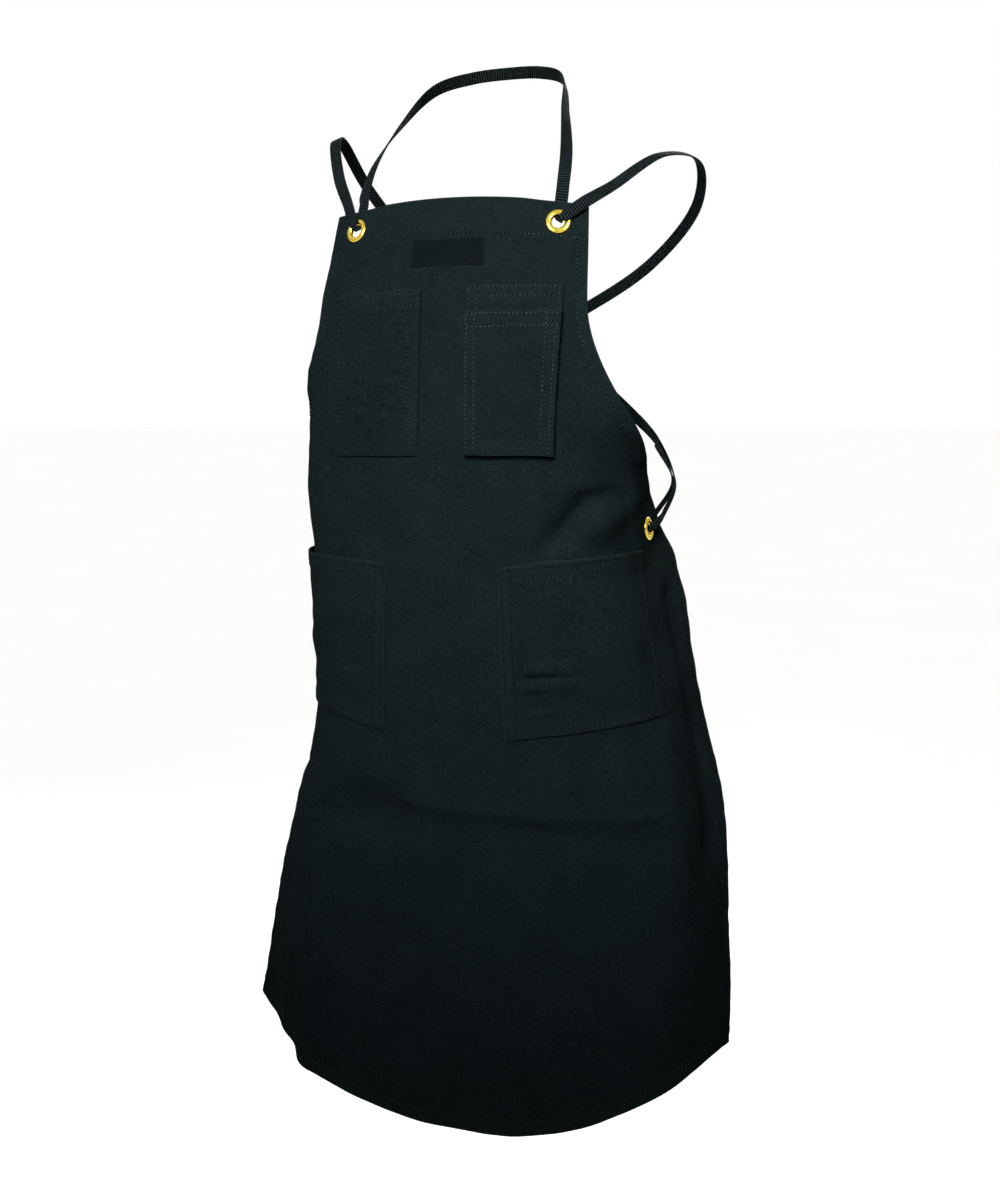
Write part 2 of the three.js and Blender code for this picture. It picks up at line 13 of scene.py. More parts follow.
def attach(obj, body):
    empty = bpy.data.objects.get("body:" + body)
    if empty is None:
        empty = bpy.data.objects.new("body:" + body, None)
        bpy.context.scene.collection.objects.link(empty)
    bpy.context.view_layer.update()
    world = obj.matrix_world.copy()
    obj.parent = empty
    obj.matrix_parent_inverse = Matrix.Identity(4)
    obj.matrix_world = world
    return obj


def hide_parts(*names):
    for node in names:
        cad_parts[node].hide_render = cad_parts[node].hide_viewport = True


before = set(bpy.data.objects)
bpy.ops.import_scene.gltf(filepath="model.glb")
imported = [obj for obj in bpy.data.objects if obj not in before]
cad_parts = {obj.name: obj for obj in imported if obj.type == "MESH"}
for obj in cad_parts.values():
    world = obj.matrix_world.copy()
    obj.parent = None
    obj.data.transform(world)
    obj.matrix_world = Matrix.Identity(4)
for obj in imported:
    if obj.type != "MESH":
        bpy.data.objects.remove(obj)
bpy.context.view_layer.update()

bl_info = {
    "name": "Cross-back bib apron",
    "version": (1, 0, 0),
    "blender": (4, 5, 0),
    "location": "3D View > Sidebar > Apron",
    "description": "Builds a bib apron of black cotton, as worn, with pockets, eyelets and webbing",
    "category": "Add Mesh",
}

# All lengths are metres. The flat cut is measured from the middle of its top edge: "across" runs to
# the wearer's left and "drop" runs down.
Ahead = namedtuple("Ahead", "drop ahead")
Drape = namedtuple("Drape", "drop brow start end side")
Fold = namedtuple("Fold", "across drop to_across to_drop reach rise")
Spot = namedtuple("Spot", "name across drop")
Frame = namedtuple("Frame", "point along down face")

# Form of the flat cut, its place on the body, how the eyelets hold it flat, and steps for reading the drape.
ARMHOLE_DROP = 0.100
ARMHOLE_POWER = 1.6
WAIST_DROP = 0.295
SIDE_BOW = 0.5
STEEPEST = 1.6
TOP_ARCH = 0.009
HEM_LEFT = {"rise": 0.084, "round": 3.4}
HEM_RIGHT = {"rise": 0.050, "round": 2.0}
NECK_DROP = 0.140
NAPE_BACK = 0.050
FLAT_REACH = 0.022
FLAT_FADE = 0.044
SECTION_STEPS = 40
NUDGE = 0.0005
WAVE_RANGE = (0.75, 1.4)

# How far the front stands ahead of the middle of the body.
FRONT = (
    Ahead(0.000, 0.101),
    Ahead(0.050, 0.110),
    Ahead(0.100, 0.118),
    Ahead(0.200, 0.122),
    Ahead(0.450, 0.126),
    Ahead(0.888, 0.134),
)

# Level sections of the draped cloth. From the middle out, the cloth turns back slowly up to the angle
# "brow", then bends round between "start" and "end" until it runs at the angle "side", in degrees.
LEFT_DRAPE = (
    Drape(0.000, 22, 0.105, 0.140, 28),
    Drape(0.050, 14, 0.102, 0.140, 22),
    Drape(0.095, 9, 0.100, 0.140, 16),
    Drape(0.150, 6, 0.100, 0.165, 20),
    Drape(0.200, 6, 0.090, 0.194, 37),
    Drape(0.255, 8, 0.087, 0.224, 85),
    Drape(0.295, 10, 0.087, 0.232, 89),
    Drape(0.335, 10, 0.084, 0.221, 77),
    Drape(0.385, 10, 0.115, 0.223, 75),
    Drape(0.450, 11, 0.131, 0.264, 82),
    Drape(0.600, 13, 0.165, 0.276, 66),
    Drape(0.750, 12, 0.178, 0.276, 66),
    Drape(0.888, 11, 0.176, 0.272, 72),
)
RIGHT_DRAPE = (
    Drape(0.000, 20, 0.105, 0.140, 26),
    Drape(0.050, 13, 0.102, 0.140, 21),
    Drape(0.095, 8, 0.105, 0.140, 16),
    Drape(0.150, 7, 0.112, 0.160, 34),
    Drape(0.200, 7, 0.116, 0.176, 74),
    Drape(0.255, 8, 0.116, 0.200, 90),
    Drape(0.295, 10, 0.110, 0.212, 95),
    Drape(0.360, 12, 0.104, 0.212, 92),
    Drape(0.450, 12, 0.098, 0.208, 88),
    Drape(0.520, 11, 0.106, 0.204, 76),
    Drape(0.600, 9, 0.122, 0.196, 61),
    Drape(0.750, 8, 0.135, 0.190, 50),
    Drape(0.888, 8, 0.140, 0.190, 42),
)

# Main folds: a line on the flat cut, the reach to either side and the rise.
MAIN_FOLDS = (
    Fold(0.130, 0.284, 0.106, 0.305, 0.012, -0.0040),
    Fold(0.178, 0.282, 0.148, 0.298, 0.012, 0.0024),
    Fold(-0.092, 0.248, -0.084, 0.318, 0.034, -0.0040),
)

# Softer folds. The first five make the arch that drags towards the left side eyelet.
SOFT_FOLDS = (
    Fold(0.168, 0.274, 0.156, 0.271, 0.008, -0.0056),
    Fold(0.140, 0.273, 0.132, 0.280, 0.008, -0.0070),
    Fold(0.120, 0.294, 0.111, 0.306, 0.008, -0.0066),
    Fold(0.103, 0.315, 0.096, 0.321, 0.008, -0.0036),
    Fold(0.162, 0.289, 0.138, 0.300, 0.011, 0.0042),
    Fold(0.060, 0.246, 0.095, 0.262, 0.022, 0.0020),
    Fold(0.128, 0.150, 0.130, 0.225, 0.009, -0.0020),
    Fold(-0.018, 0.240, -0.020, 0.285, 0.008, -0.0010),
    Fold(-0.090, 0.582, -0.058, 0.588, 0.023, -0.0125),
    Fold(-0.020, 0.560, -0.060, 0.640, 0.026, 0.0030),
    Fold(-0.020, 0.360, 0.040, 0.352, 0.009, 0.0006),
    Fold(-0.030, 0.446, 0.045, 0.440, 0.007, -0.0006),
    Fold(-0.035, 0.470, 0.030, 0.468, 0.010, 0.0006),
    Fold(0.248, 0.372, 0.272, 0.600, 0.011, -0.0060),
    Fold(0.216, 0.500, 0.234, 0.640, 0.014, 0.0034),
    Fold(-0.020, 0.700, 0.020, 0.702, 0.007, -0.0006),
    Fold(0.060, 0.655, 0.130, 0.670, 0.016, 0.0007),
    Fold(-0.154, 0.560, -0.160, 0.850, 0.010, 0.0030),
    Fold(-0.182, 0.570, -0.198, 0.850, 0.015, -0.0052),
    Fold(-0.020, 0.587, 0.200, 0.587, 0.016, -0.0026),
)

# Sharp creases from packing and where the cloth turns round a side: each is a thin ridge along a line.
CREASES = (
    Fold(-0.034, 0.566, 0.106, 0.571, 0.009, 0.0046),
    Fold(0.106, 0.571, 0.205, 0.566, 0.009, 0.0038),
    Fold(0.158, 0.196, 0.200, 0.292, 0.010, 0.0044),
    Fold(-0.152, 0.550, -0.157, 0.850, 0.009, 0.0046),
    Fold(-0.032, 0.505, -0.033, 0.570, 0.006, 0.0012),
    Fold(0.132, 0.612, 0.130, 0.672, 0.006, 0.0010),
)

EYELETS = (
    Spot("eyelet_bib_left", 0.102, 0.025),
    Spot("eyelet_bib_right", -0.102, 0.025),
    Spot("eyelet_side_left", 0.223, 0.305),
    Spot("eyelet_side_right", -0.223, 0.305),
)
CLOTH_HOLE = 0.0152
HOLE_SIDES = 40
PUNCH_DEPTH = 0.01
EYELET_PRESS = 0.0118
PRESS_FADE = 0.006

# Slackness of the cloth: undulations, calm near the top edge, and puckers along the rows of stitches.
Wave = namedtuple("Wave", "height stretch length seed")
SLACKNESS = (
    Wave(0.00075, 1.0, 0.085, 3),
    Wave(0.00022, 1.3, 0.030, 5),
)
CALM_TOP = 0.01
CALM_REACH = 0.12
PUCKERS = Wave(0.00036, 1.0, 0.0125, 8)
PUCKER_REACH = 0.010
TOP_PUCKER = 0.7

# Hems: how far the row of stitches and the end of the turned layer lie from each edge.
SIDE_ROW = 0.010
TOP_ROW = 0.033
FOOT_ROW = 0.013
SIDE_HEM = 0.0118
TOP_HEM = 0.0348
FOOT_HEM = 0.0148
HEM_STEP = 0.0006
EDGE_WEAR = 0.0012
HEM_WEAR = 0.25

# Grid lines of the cloth: distances from an edge, close together at the rolled edge and the stitching.
SIDE_LINES = (0.0, 0.00015, 0.0005, 0.0010, 0.003, 0.0062, 0.0090, 0.0100, 0.0110, 0.0116, 0.0120, 0.0155)
TOP_LINES = (
    0.0, 0.00015, 0.0005, 0.0010, 0.003, 0.008, 0.016, 0.024, 0.0320, 0.0330, 0.0340, 0.0346, 0.0350, 0.039
)
FOOT_LINES = (0.0, 0.00015, 0.0005, 0.0010, 0.003, 0.007, 0.0120, 0.0130, 0.0140, 0.0146, 0.0150, 0.0185)
CLOTH_COLUMNS = 128
BIB_ROWS = 74
SKIRT_ROWS = 142
GRID_PASSES = 4
EDGE_ROLL = 0.0010
ROLL_LEAST = 0.12
STITCH_DIP = 0.00022
ROW_REACH = 0.0009
SMOOTH_ANGLE = 50


def number(name, description, default, **kind):
    return FloatProperty(name=name, description=description, default=default, **kind)


def tint(name, description, *rgb):
    return FloatVectorProperty(
        name=name, description=description, subtype="COLOR", size=4, min=0, max=1, default=(*rgb, 1)
    )


metres = partial(number, unit="LENGTH")
watts = partial(number, unit="POWER")


class CutSettings(PropertyGroup):
    """Sizes and colours of the cloth."""

    length: metres("Length", "From the top edge to the lowest point of the hem", 0.888)
    bib_top: metres("Bib top", "Half the width of the top edge", 0.128)
    bib_low: metres("Bib foot", "Half the width where the armholes start", 0.134)
    waist: metres("Waist", "Half the width at the side corners", 0.259)
    hem: metres("Hem", "Half the width at the hem", 0.310)
    thickness: metres("Cloth", "Thickness of one layer of cloth", 0.0012)
    turn_in: metres("Turned layer", "Thickness that a turned-in hem adds", 0.0011)
    dye: tint("Dye", "Colour of the darker threads", 0.0062, 0.0120, 0.0128)
    fibre: tint("Fibre", "Colour of the lighter threads", 0.0222, 0.0360, 0.0372)
    rubbed: tint("Rubbed edge", "Colour where folded edges have lost some dye", 0.0340, 0.0530, 0.0535)


class SewingSettings(PropertyGroup):
    """Sizes and colours of the thread and the label."""

    pitch: metres("Stitch pitch", "From one stitch to the next", 0.0042)
    stitch: metres("Stitch", "Length of the thread that shows", 0.0029)
    thread: metres("Thread", "Thickness of the thread", 0.00080)
    label_pitch: metres("Label pitch", "From one stitch to the next on the label", 0.0034)
    thread_colour: tint("Thread colour", "Colour of the topstitching", 0.130, 0.185, 0.172)
    label_colour: tint("Label colour", "Colour of the woven patch", 0.0054, 0.0092, 0.0098)


class EyeletSettings(PropertyGroup):
    """Sizes and colour of the eyelets."""

    hole: metres("Hole", "Width of the hole", 0.0112)
    barrel: metres("Barrel", "Outer width of the barrel in the cloth", 0.0144)
    flange: metres("Flange", "Outer width of the eyelet", 0.0226)
    dome: metres("Dome", "How far the front stands proud", 0.0015)
    washer: metres("Washer", "Thickness of the rear washer", 0.0008)
    brass: tint("Brass", "Colour of the metal", 0.86, 0.63, 0.085)


class WebbingSettings(PropertyGroup):
    """Sizes and colours of the webbing."""

    width: metres("Width", "Width of the webbing", 0.012)
    narrow: metres("Width in a hole", "Width where it is bunched in an eyelet", 0.007)
    side: metres("Width at a side", "Width where it is drawn together beside a side eyelet", 0.0078)
    thickness: metres("Thickness", "Thickness over the ribs", 0.0016)
    rib: metres("Rib pitch", "From one rib to the next", 0.0026)
    groove: metres("Groove", "Depth between two ribs", 0.00060)
    yarn: tint("Yarn", "Colour of the ribs", 0.0150, 0.0232, 0.0235)


class StageSettings(PropertyGroup):
    """Floor, light and camera."""

    floor_drop: metres("Floor", "How far the floor lies below the nape", 1.46)
    floor_colour: tint("Floor colour", "Colour of the floor", 0.86, 0.86, 0.85)
    key: watts("Key light", "Power of the large light in front and above", 2.0)
    fill: watts("Fill light", "Power of the broad light from the wearer's right", 0.15)
    glint: watts("Glint lights", "Power of each small light that shows in the brass", 24.0)
    rear: watts("Rear light", "Power of the light behind the back", 30)
    side: watts("Side light", "Power of the light behind the wearer's right side", 10)
    room: number("Room light", "Strength of the light from the pale room all round", 0.035)
    reflected: number("Reflected room", "Strength of the pale room where metal mirrors it", 0.9)
    floor_light: number("Floor light", "Strength of the light that falls on the floor alone", 3.4)
    lens: number("Lens", "Focal length on a 36 mm sensor, in millimetres", 42.71)
    eye: FloatVectorProperty(
        name="Eye", description="Place of the camera", subtype="XYZ", size=3,
        default=(0.5145, -1.3650, -0.3245)
    )
    azimuth: number("Azimuth", "Turn of the camera to the wearer's left", math.radians(21.0), subtype="ANGLE")
    elevation: number("Elevation", "How steeply the camera looks down", math.radians(7.7), subtype="ANGLE")


def smooth_step(value):
    held = np.clip(value, 0.0, 1.0)
    return held * held * (3.0 - 2.0 * held)


def unit(vectors):
    return vectors / np.linalg.norm(vectors, axis=-1, keepdims=True)


def read_column(rows, column, drop):
    """A smooth curve through one column of a table, read by drop, with no overshoot between rows."""
    at = np.array([row.drop for row in rows])
    value = np.array([getattr(row, column) for row in rows], dtype=float)
    gap = np.diff(at)
    grade = np.diff(value) / gap
    before, after = grade[:-1], grade[1:]
    same = before * after > 0
    inner = np.where(same, 2 * before * after / np.where(same, before + after, 1.0), 0.0)
    slope = np.concatenate([grade[:1], inner, grade[-1:]])
    held = np.clip(drop, at[0], at[-1])
    row = np.clip(np.searchsorted(at, held) - 1, 0, len(gap) - 1)
    part = (held - at[row]) / gap[row]
    start = value[row] * (1 + 2 * part) * (1 - part) ** 2
    end = value[row + 1] * part * part * (3 - 2 * part)
    leaving = slope[row] * gap[row] * part * (1 - part) ** 2
    arriving = slope[row + 1] * gap[row] * part * part * (part - 1)
    return start + end + leaving + arriving


def soft_noise(x, y, wavelength, seed, waves=9):
    """Gentle undulation of about unit height: a sum of seeded waves in many directions."""
    rng = np.random.default_rng(seed)
    total = np.zeros(np.broadcast(x, y).shape)
    for _ in range(waves):
        heading = rng.uniform(0, math.tau)
        pulse = math.tau / (wavelength * rng.uniform(*WAVE_RANGE))
        total += np.sin(pulse * (math.cos(heading) * x + math.sin(heading) * y) + rng.uniform(0, math.tau))
    return total / math.sqrt(waves)


def line_distance(fold, across, drop):
    """Distance from a fold's line, growing past its ends."""
    run = np.array([fold.to_across - fold.across, fold.to_drop - fold.drop])
    length = np.linalg.norm(run)
    aside, below = across - fold.across, drop - fold.drop
    part = (aside * run[0] + below * run[1]) / length**2
    beside = np.abs(aside * run[1] - below * run[0]) / length
    beyond = np.maximum(np.maximum(-part, part - 1), 0) * length
    return np.hypot(beside, beyond)


def fold_height(folds, across, drop):
    height = np.zeros(np.broadcast(across, drop).shape)
    for fold in folds:
        distance = line_distance(fold, across, drop) / fold.reach
        height += fold.rise * (1 - smooth_step(distance / 2))
    return height


def crease_height(creases, across, drop):
    height = np.zeros(np.broadcast(across, drop).shape)
    for crease in creases:
        height += crease.rise * np.exp(-line_distance(crease, across, drop) / crease.reach)
    return height


class Cloth:
    """The draped cloth as a function of its flat cut."""

    def __init__(self, cut):
        self.length = cut.length
        self.halves = (cut.bib_top, cut.bib_low, cut.waist, cut.hem)
        self.thickness = cut.thickness
        self.turn_in = cut.turn_in
        self.seats = [self.frame(spot.across, spot.drop, self.folded) for spot in EYELETS]

    def half(self, drop):
        """Half the width of the flat cut."""
        bib_top, bib_low, waist, hem = self.halves
        bib = bib_top + (bib_low - bib_top) * np.clip(drop, 0, None) / ARMHOLE_DROP
        part = np.clip((drop - ARMHOLE_DROP) / (WAIST_DROP - ARMHOLE_DROP), 0, 1)
        armhole = bib_low + (waist - bib_low) * part**ARMHOLE_POWER
        low = np.clip((drop - WAIST_DROP) / (self.length - WAIST_DROP), 0, 1)
        skirt = waist + (hem - waist) * low**SIDE_BOW
        return np.where(drop <= ARMHOLE_DROP, bib, np.where(drop <= WAIST_DROP, armhole, skirt))

    def top(self, share):
        return TOP_ARCH * share * share

    def foot(self, share):
        swing = np.sin(np.clip(np.abs(share), 0, 1) * math.pi / 2)
        left = HEM_LEFT["rise"] * swing ** HEM_LEFT["round"]
        right = HEM_RIGHT["rise"] * swing ** HEM_RIGHT["round"]
        return self.length - np.where(share < 0, right, left)

    def side_slant(self, drop, reach=0.012):
        """How much longer a level step to the side edge is than the shortest way to it."""
        slope = (self.half(drop + reach) - self.half(drop - reach)) / (2 * reach)
        return np.hypot(1, np.clip(slope, -STEEPEST, STEEPEST))

    def foot_slant(self, share, reach=0.02):
        slope = (self.foot(share + reach) - self.foot(share - reach)) / (2 * reach * self.halves[-1])
        return np.hypot(1, slope)

    def edges(self, across, drop):
        """Distances to the side, top and bottom edges."""
        half = self.half(drop)
        share = np.clip(across / half, -1, 1)
        side = (half - np.abs(across)) / self.side_slant(drop)
        top = drop - self.top(share)
        foot = (self.foot(share) - drop) / self.foot_slant(share)
        return np.maximum(side, 0), np.maximum(top, 0), np.maximum(foot, 0)

    def draped(self, across, drop):
        """The cloth before its folds: a level section walked out from the middle."""
        across, drop = np.broadcast_arrays(np.asarray(across, float), np.asarray(drop, float))
        left = across >= 0

        def column(name):
            return np.where(left, read_column(LEFT_DRAPE, name, drop), read_column(RIGHT_DRAPE, name, drop))

        brow, start, end, side = (column(name) for name in ("brow", "start", "end", "side"))
        step = np.abs(across) / SECTION_STEPS
        out = np.zeros_like(across)
        back = -read_column(FRONT, "ahead", drop) - NAPE_BACK
        for i in range(SECTION_STEPS):
            walked = (i + 0.5) * step
            bent = smooth_step((walked - start) / (end - start))
            angle = brow * np.minimum(walked / start, 1) + (side - brow) * bent
            out = out + step * np.cos(np.radians(angle))
            back = back + step * np.sin(np.radians(angle))
        return np.stack([np.sign(across) * out, back, -NECK_DROP - drop], axis=-1)

    def folded(self, across, drop):
        base = self.frame(across, drop, self.draped)
        return base.point + base.face * fold_height(MAIN_FOLDS, across, drop)[..., None]

    def wrinkles(self, across, drop):
        """Small folds, sharp creases, slackness and the puckers along the stitched hems."""
        side, top, foot = self.edges(across, drop)
        height = fold_height(SOFT_FOLDS, across, drop) + crease_height(CREASES, across, drop)
        calm = smooth_step((top - CALM_TOP) / CALM_REACH)
        for wave in SLACKNESS:
            sway = soft_noise(across, drop * wave.stretch, wave.length, wave.seed)
            height = height + calm * wave.height * sway
        ripple = soft_noise(across, drop, PUCKERS.length, PUCKERS.seed)
        gather = bar(side, SIDE_ROW, PUCKER_REACH) + bar(foot, FOOT_ROW, PUCKER_REACH)
        gather = gather + TOP_PUCKER * bar(top, TOP_ROW, PUCKER_REACH)
        return height + PUCKERS.height * gather * ripple

    def at(self, across, drop):
        """The middle of the cloth's thickness, with each eyelet clamping it flat."""
        across, drop = np.broadcast_arrays(np.asarray(across, float), np.asarray(drop, float))
        base = self.frame(across, drop, self.draped)
        height = fold_height(MAIN_FOLDS, across, drop) + self.wrinkles(across, drop)
        point = base.point + base.face * height[..., None]
        for spot, seat in zip(EYELETS, self.seats):
            aside, below = across - spot.across, drop - spot.drop
            flat = seat.point + aside[..., None] * seat.along + below[..., None] * seat.down
            hold = 1 - smooth_step((np.hypot(aside, below) - FLAT_REACH) / (FLAT_FADE - FLAT_REACH))
            point = point + (flat - point) * hold[..., None]
        return point

    def frame(self, across, drop, point_at=None):
        """Place, directions and outer face of the cloth at places of the flat cut."""
        point_at = point_at or self.at
        across, drop = np.asarray(across, float), np.asarray(drop, float)
        along = unit(point_at(across + NUDGE, drop) - point_at(across - NUDGE, drop))
        down = unit(point_at(across, drop + NUDGE) - point_at(across, drop - NUDGE))
        return Frame(point_at(across, drop), along, down, unit(np.cross(down, along)))


def deselect():
    bpy.ops.object.select_all(action="DESELECT")


def activate(obj):
    deselect()
    obj.select_set(True)
    bpy.context.view_layer.objects.active = obj


def new_piece(name, mesh):
    obj = bpy.data.objects.new(name, mesh)
    bpy.context.scene.collection.objects.link(obj)
    return obj


def finish_piece(obj, material, angle=SMOOTH_ANGLE):
    """Smooths a piece, gives it its material and lets it ride on the apron's one body."""
    activate(obj)
    bpy.ops.object.shade_smooth_by_angle(angle=math.radians(angle))
    obj.data.materials.clear()
    obj.data.materials.append(material)
    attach(obj, "root")


def rolled(distance, roll=EDGE_ROLL):
    """Share of the full thickness near a rolled edge."""
    near = np.clip(distance / roll, 0, 1)
    return np.maximum(np.sqrt(1 - (1 - near) ** 2), ROLL_LEAST)


def sheet_mesh(name, outer, inner, across, drop, wear):
    """A closed sheet between two surfaces on the same grid, with the flat cut as its UV map."""
    rows, columns = across.shape
    count = rows * columns
    index = np.arange(count).reshape(rows, columns)
    a, b, c, d = index[:-1, :-1], index[1:, :-1], index[1:, 1:], index[:-1, 1:]
    quads = [np.stack([a, b, c, d], axis=-1).reshape(-1, 4)]
    quads.append(np.stack([a, d, c, b], axis=-1).reshape(-1, 4) + count)

    def rim(line):
        return np.stack([line[:-1], line[1:], line[1:] + count, line[:-1] + count], axis=-1)

    quads.append(rim(index[:, 0])[:, ::-1])
    quads.append(rim(index[:, -1]))
    quads.append(rim(index[0, :]))
    quads.append(rim(index[-1, :])[:, ::-1])
    places = np.concatenate([outer.reshape(-1, 3), inner.reshape(-1, 3)])
    mesh = bpy.data.meshes.new(name)
    mesh.from_pydata(places.tolist(), [], np.concatenate(quads).tolist())
    flat = np.stack([across.ravel(), -drop.ravel()], axis=-1)
    write_uv(mesh, np.concatenate([flat, flat]))
    write_wear_and_light(mesh, np.concatenate([wear.ravel(), wear.ravel()]))
    mesh.validate()
    return mesh


def write_uv(mesh, places):
    corner = np.empty(len(mesh.loops), dtype=np.int32)
    mesh.loops.foreach_get("vertex_index", corner)
    layer = mesh.uv_layers.new(name="Cut")
    layer.data.foreach_set("uv", places[corner].astype(np.float32).ravel())


# Writes a share per point into the wear attribute: wear on the cloth, pockets, label and webbing, painted
# light on the thread.
def write_wear_and_light(mesh, wear):
    layer = mesh.attributes.new("wear", "FLOAT", "POINT")
    layer.data.foreach_set("value", wear.astype(np.float32))


def spaced(length, start, end, step):
    """Lines along a length: the given distances from both its ends, and even steps between them."""
    first, last = max(start), length - max(end)
    count = max(2, round((last - first) / step))
    middle = np.linspace(first, last, count + 1)[1:-1]
    return np.concatenate([np.array(start), middle, length - np.array(end)[::-1]])


def cloth_grid(cloth):
    """Places on the flat cut: grid lines follow the edges, and are dense at the hems."""
    inner = np.linspace(-1, 1, CLOTH_COLUMNS + 1)[1:-1]
    margin = np.array(SIDE_LINES)
    turn = np.concatenate([-np.ones(len(margin)), inner, np.ones(len(margin))])
    inset = np.concatenate([margin, np.full(len(inner), margin[-1]), margin[::-1]])
    bib = np.linspace(0, 1, BIB_ROWS + 1)[1:]
    skirt = np.linspace(0, 1, SKIRT_ROWS + 1)[1:-1]
    high_lines, low_lines = np.array(TOP_LINES), np.array(FOOT_LINES)[::-1]
    no_high, no_bib, no_skirt, no_low = (np.zeros_like(part) for part in (high_lines, bib, skirt, low_lines))

    def rows(*parts):
        return np.concatenate(parts)[:, None]

    from_top = rows(np.ones_like(high_lines), 1 - bib, no_skirt, no_low)
    from_foot = rows(no_high, no_bib, skirt, np.ones_like(low_lines))
    below = rows(high_lines, np.full_like(bib, high_lines[-1]), no_skirt, no_low)
    above = rows(no_high, no_bib, np.full_like(skirt, low_lines[0]), low_lines)
    share = np.broadcast_to(turn[None, :], (len(from_top), len(turn)))
    for _ in range(GRID_PASSES):
        high = cloth.top(share) + below
        low = cloth.foot(share) - above * cloth.foot_slant(share)
        drop = from_top * high + (1 - from_top - from_foot) * WAIST_DROP + from_foot * low
        half = cloth.half(drop)
        across = turn * (half - inset * cloth.side_slant(drop))
        share = across / half
    return across, drop


def near_eyelets(across, drop):
    """Distance to the nearest eyelet's middle."""
    return np.min([np.hypot(across - spot.across, drop - spot.drop) for spot in EYELETS], axis=0)


def ramp(value, width):
    """Rises smoothly from 0 to 1 over a width about zero."""
    return smooth_step(value / width + 0.5)


def bar(distance, place, width=ROW_REACH):
    """A narrow band along a line that lies at one distance from an edge."""
    return np.exp(-(((distance - place) / width) ** 2))


class APRON_OT_cloth(Operator):
    """The body of the apron: one fine sheet with turned hems, folds and holes for the eyelets."""

    bl_idname = "apron.cloth"
    bl_label = "Apron cloth"

    def execute(self, context):
        cloth = Cloth(context.scene.apron_cut)
        across, drop = cloth_grid(cloth)
        side, top, foot = cloth.edges(across, drop)
        edge = np.minimum(np.minimum(side, top), foot)
        here = cloth.frame(across, drop)
        hems = ((side, SIDE_ROW, SIDE_HEM), (top, TOP_ROW, TOP_HEM), (foot, FOOT_ROW, FOOT_HEM))
        turned = np.max([ramp(hem - distance, HEM_STEP) for distance, _, hem in hems], axis=0)
        dip = STITCH_DIP * np.max([bar(distance, row) for distance, row, _ in hems], axis=0)
        pressed = smooth_step((near_eyelets(across, drop) - EYELET_PRESS) / PRESS_FADE)
        half = cloth.thickness / 2
        out = (half - dip) * rolled(edge)
        back = (half + cloth.turn_in * turned * pressed) * rolled(edge)
        outer = here.point + here.face * out[..., None]
        inner = here.point - here.face * back[..., None]
        wear = np.exp(-edge / EDGE_WEAR) + HEM_WEAR * turned
        mesh = sheet_mesh("apron_cloth", outer, inner, across, drop, wear)
        obj = new_piece("apron_cloth", mesh)
        self.punch(obj, cloth)
        finish_piece(obj, cotton_material(context))
        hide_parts("apron_body")
        return {"FINISHED"}

    def punch(self, obj, cloth):
        """Cuts the four eyelet holes."""
        deselect()
        punches = []
        for seat in cloth.seats:
            turn = Vector((0, 0, 1)).rotation_difference(Vector(seat.face)).to_euler()
            bpy.ops.mesh.primitive_cylinder_add(
                vertices=HOLE_SIDES, radius=CLOTH_HOLE / 2, depth=PUNCH_DEPTH,
                location=seat.point, rotation=turn,
            )
            punches.append(bpy.context.object)
        for punch in punches:
            cut = obj.modifiers.new("hole", "BOOLEAN")
            cut.operation = "DIFFERENCE"
            cut.solver = "EXACT"
            cut.object = punch
            activate(obj)
            bpy.ops.object.modifier_apply(modifier=cut.name)
            bpy.data.objects.remove(punch)


# Patches sewn on the cloth. "near" and "far" are the distances of the side seams from the middle, at
# the mouth and at the foot, "lift" is how far the mouth stands open and "humps" the openings in it.
# The rows of stitches are distances from the far side, the near side and the mouth, and "bow" is how
# far the middle of the mouth rises.
PatchRow = namedtuple(
    "PatchRow",
    "name side near far foot_near foot_far top outer_top foot outer_foot "
    "lift humps rows_far rows_near mouth bow",
)
PATCHES = (
    PatchRow("pencil_pocket", -1, 0.022, 0.110, 0.025, 0.113, 0.084, 0.087, 0.236, 0.237, 0.0065, 2,
             (0.0024, 0.0095), (0.0020, 0.0105), (0.0036, 0.0145), 0),
    PatchRow("phone_pocket_rear", 1, 0.022, 0.113, 0.023, 0.107, 0.081, 0.082, 0.235, 0.235, 0.0014, 1,
             (0.0040, 0.0125), (0.0024, 0.0103), (0.0020, 0.0100), 0),
    PatchRow("phone_pocket_front", 1, 0.022, 0.113, 0.023, 0.107, 0.104, 0.105, 0.235, 0.235, 0.0016, 1,
             (0.0044, 0.0130), (0.0024, 0.0103), (0.0030, 0.0143), 0),
    PatchRow("hip_pocket_left", 1, 0.054, 0.200, 0.062, 0.215, 0.337, 0.323, 0.500, 0.472, 0.0044, 1,
             (0.0030, 0.0110), (0.0035, 0.0120), (0.0044, 0.0140), 0.0030),
    PatchRow("hip_pocket_right", -1, 0.060, 0.204, 0.061, 0.214, 0.337, 0.328, 0.500, 0.474, 0.0044, 1,
             (0.0030, 0.0110), (0.0035, 0.0120), (0.0044, 0.0140), 0),
)
FOOT_ROWS = (0.0026, 0.0098)
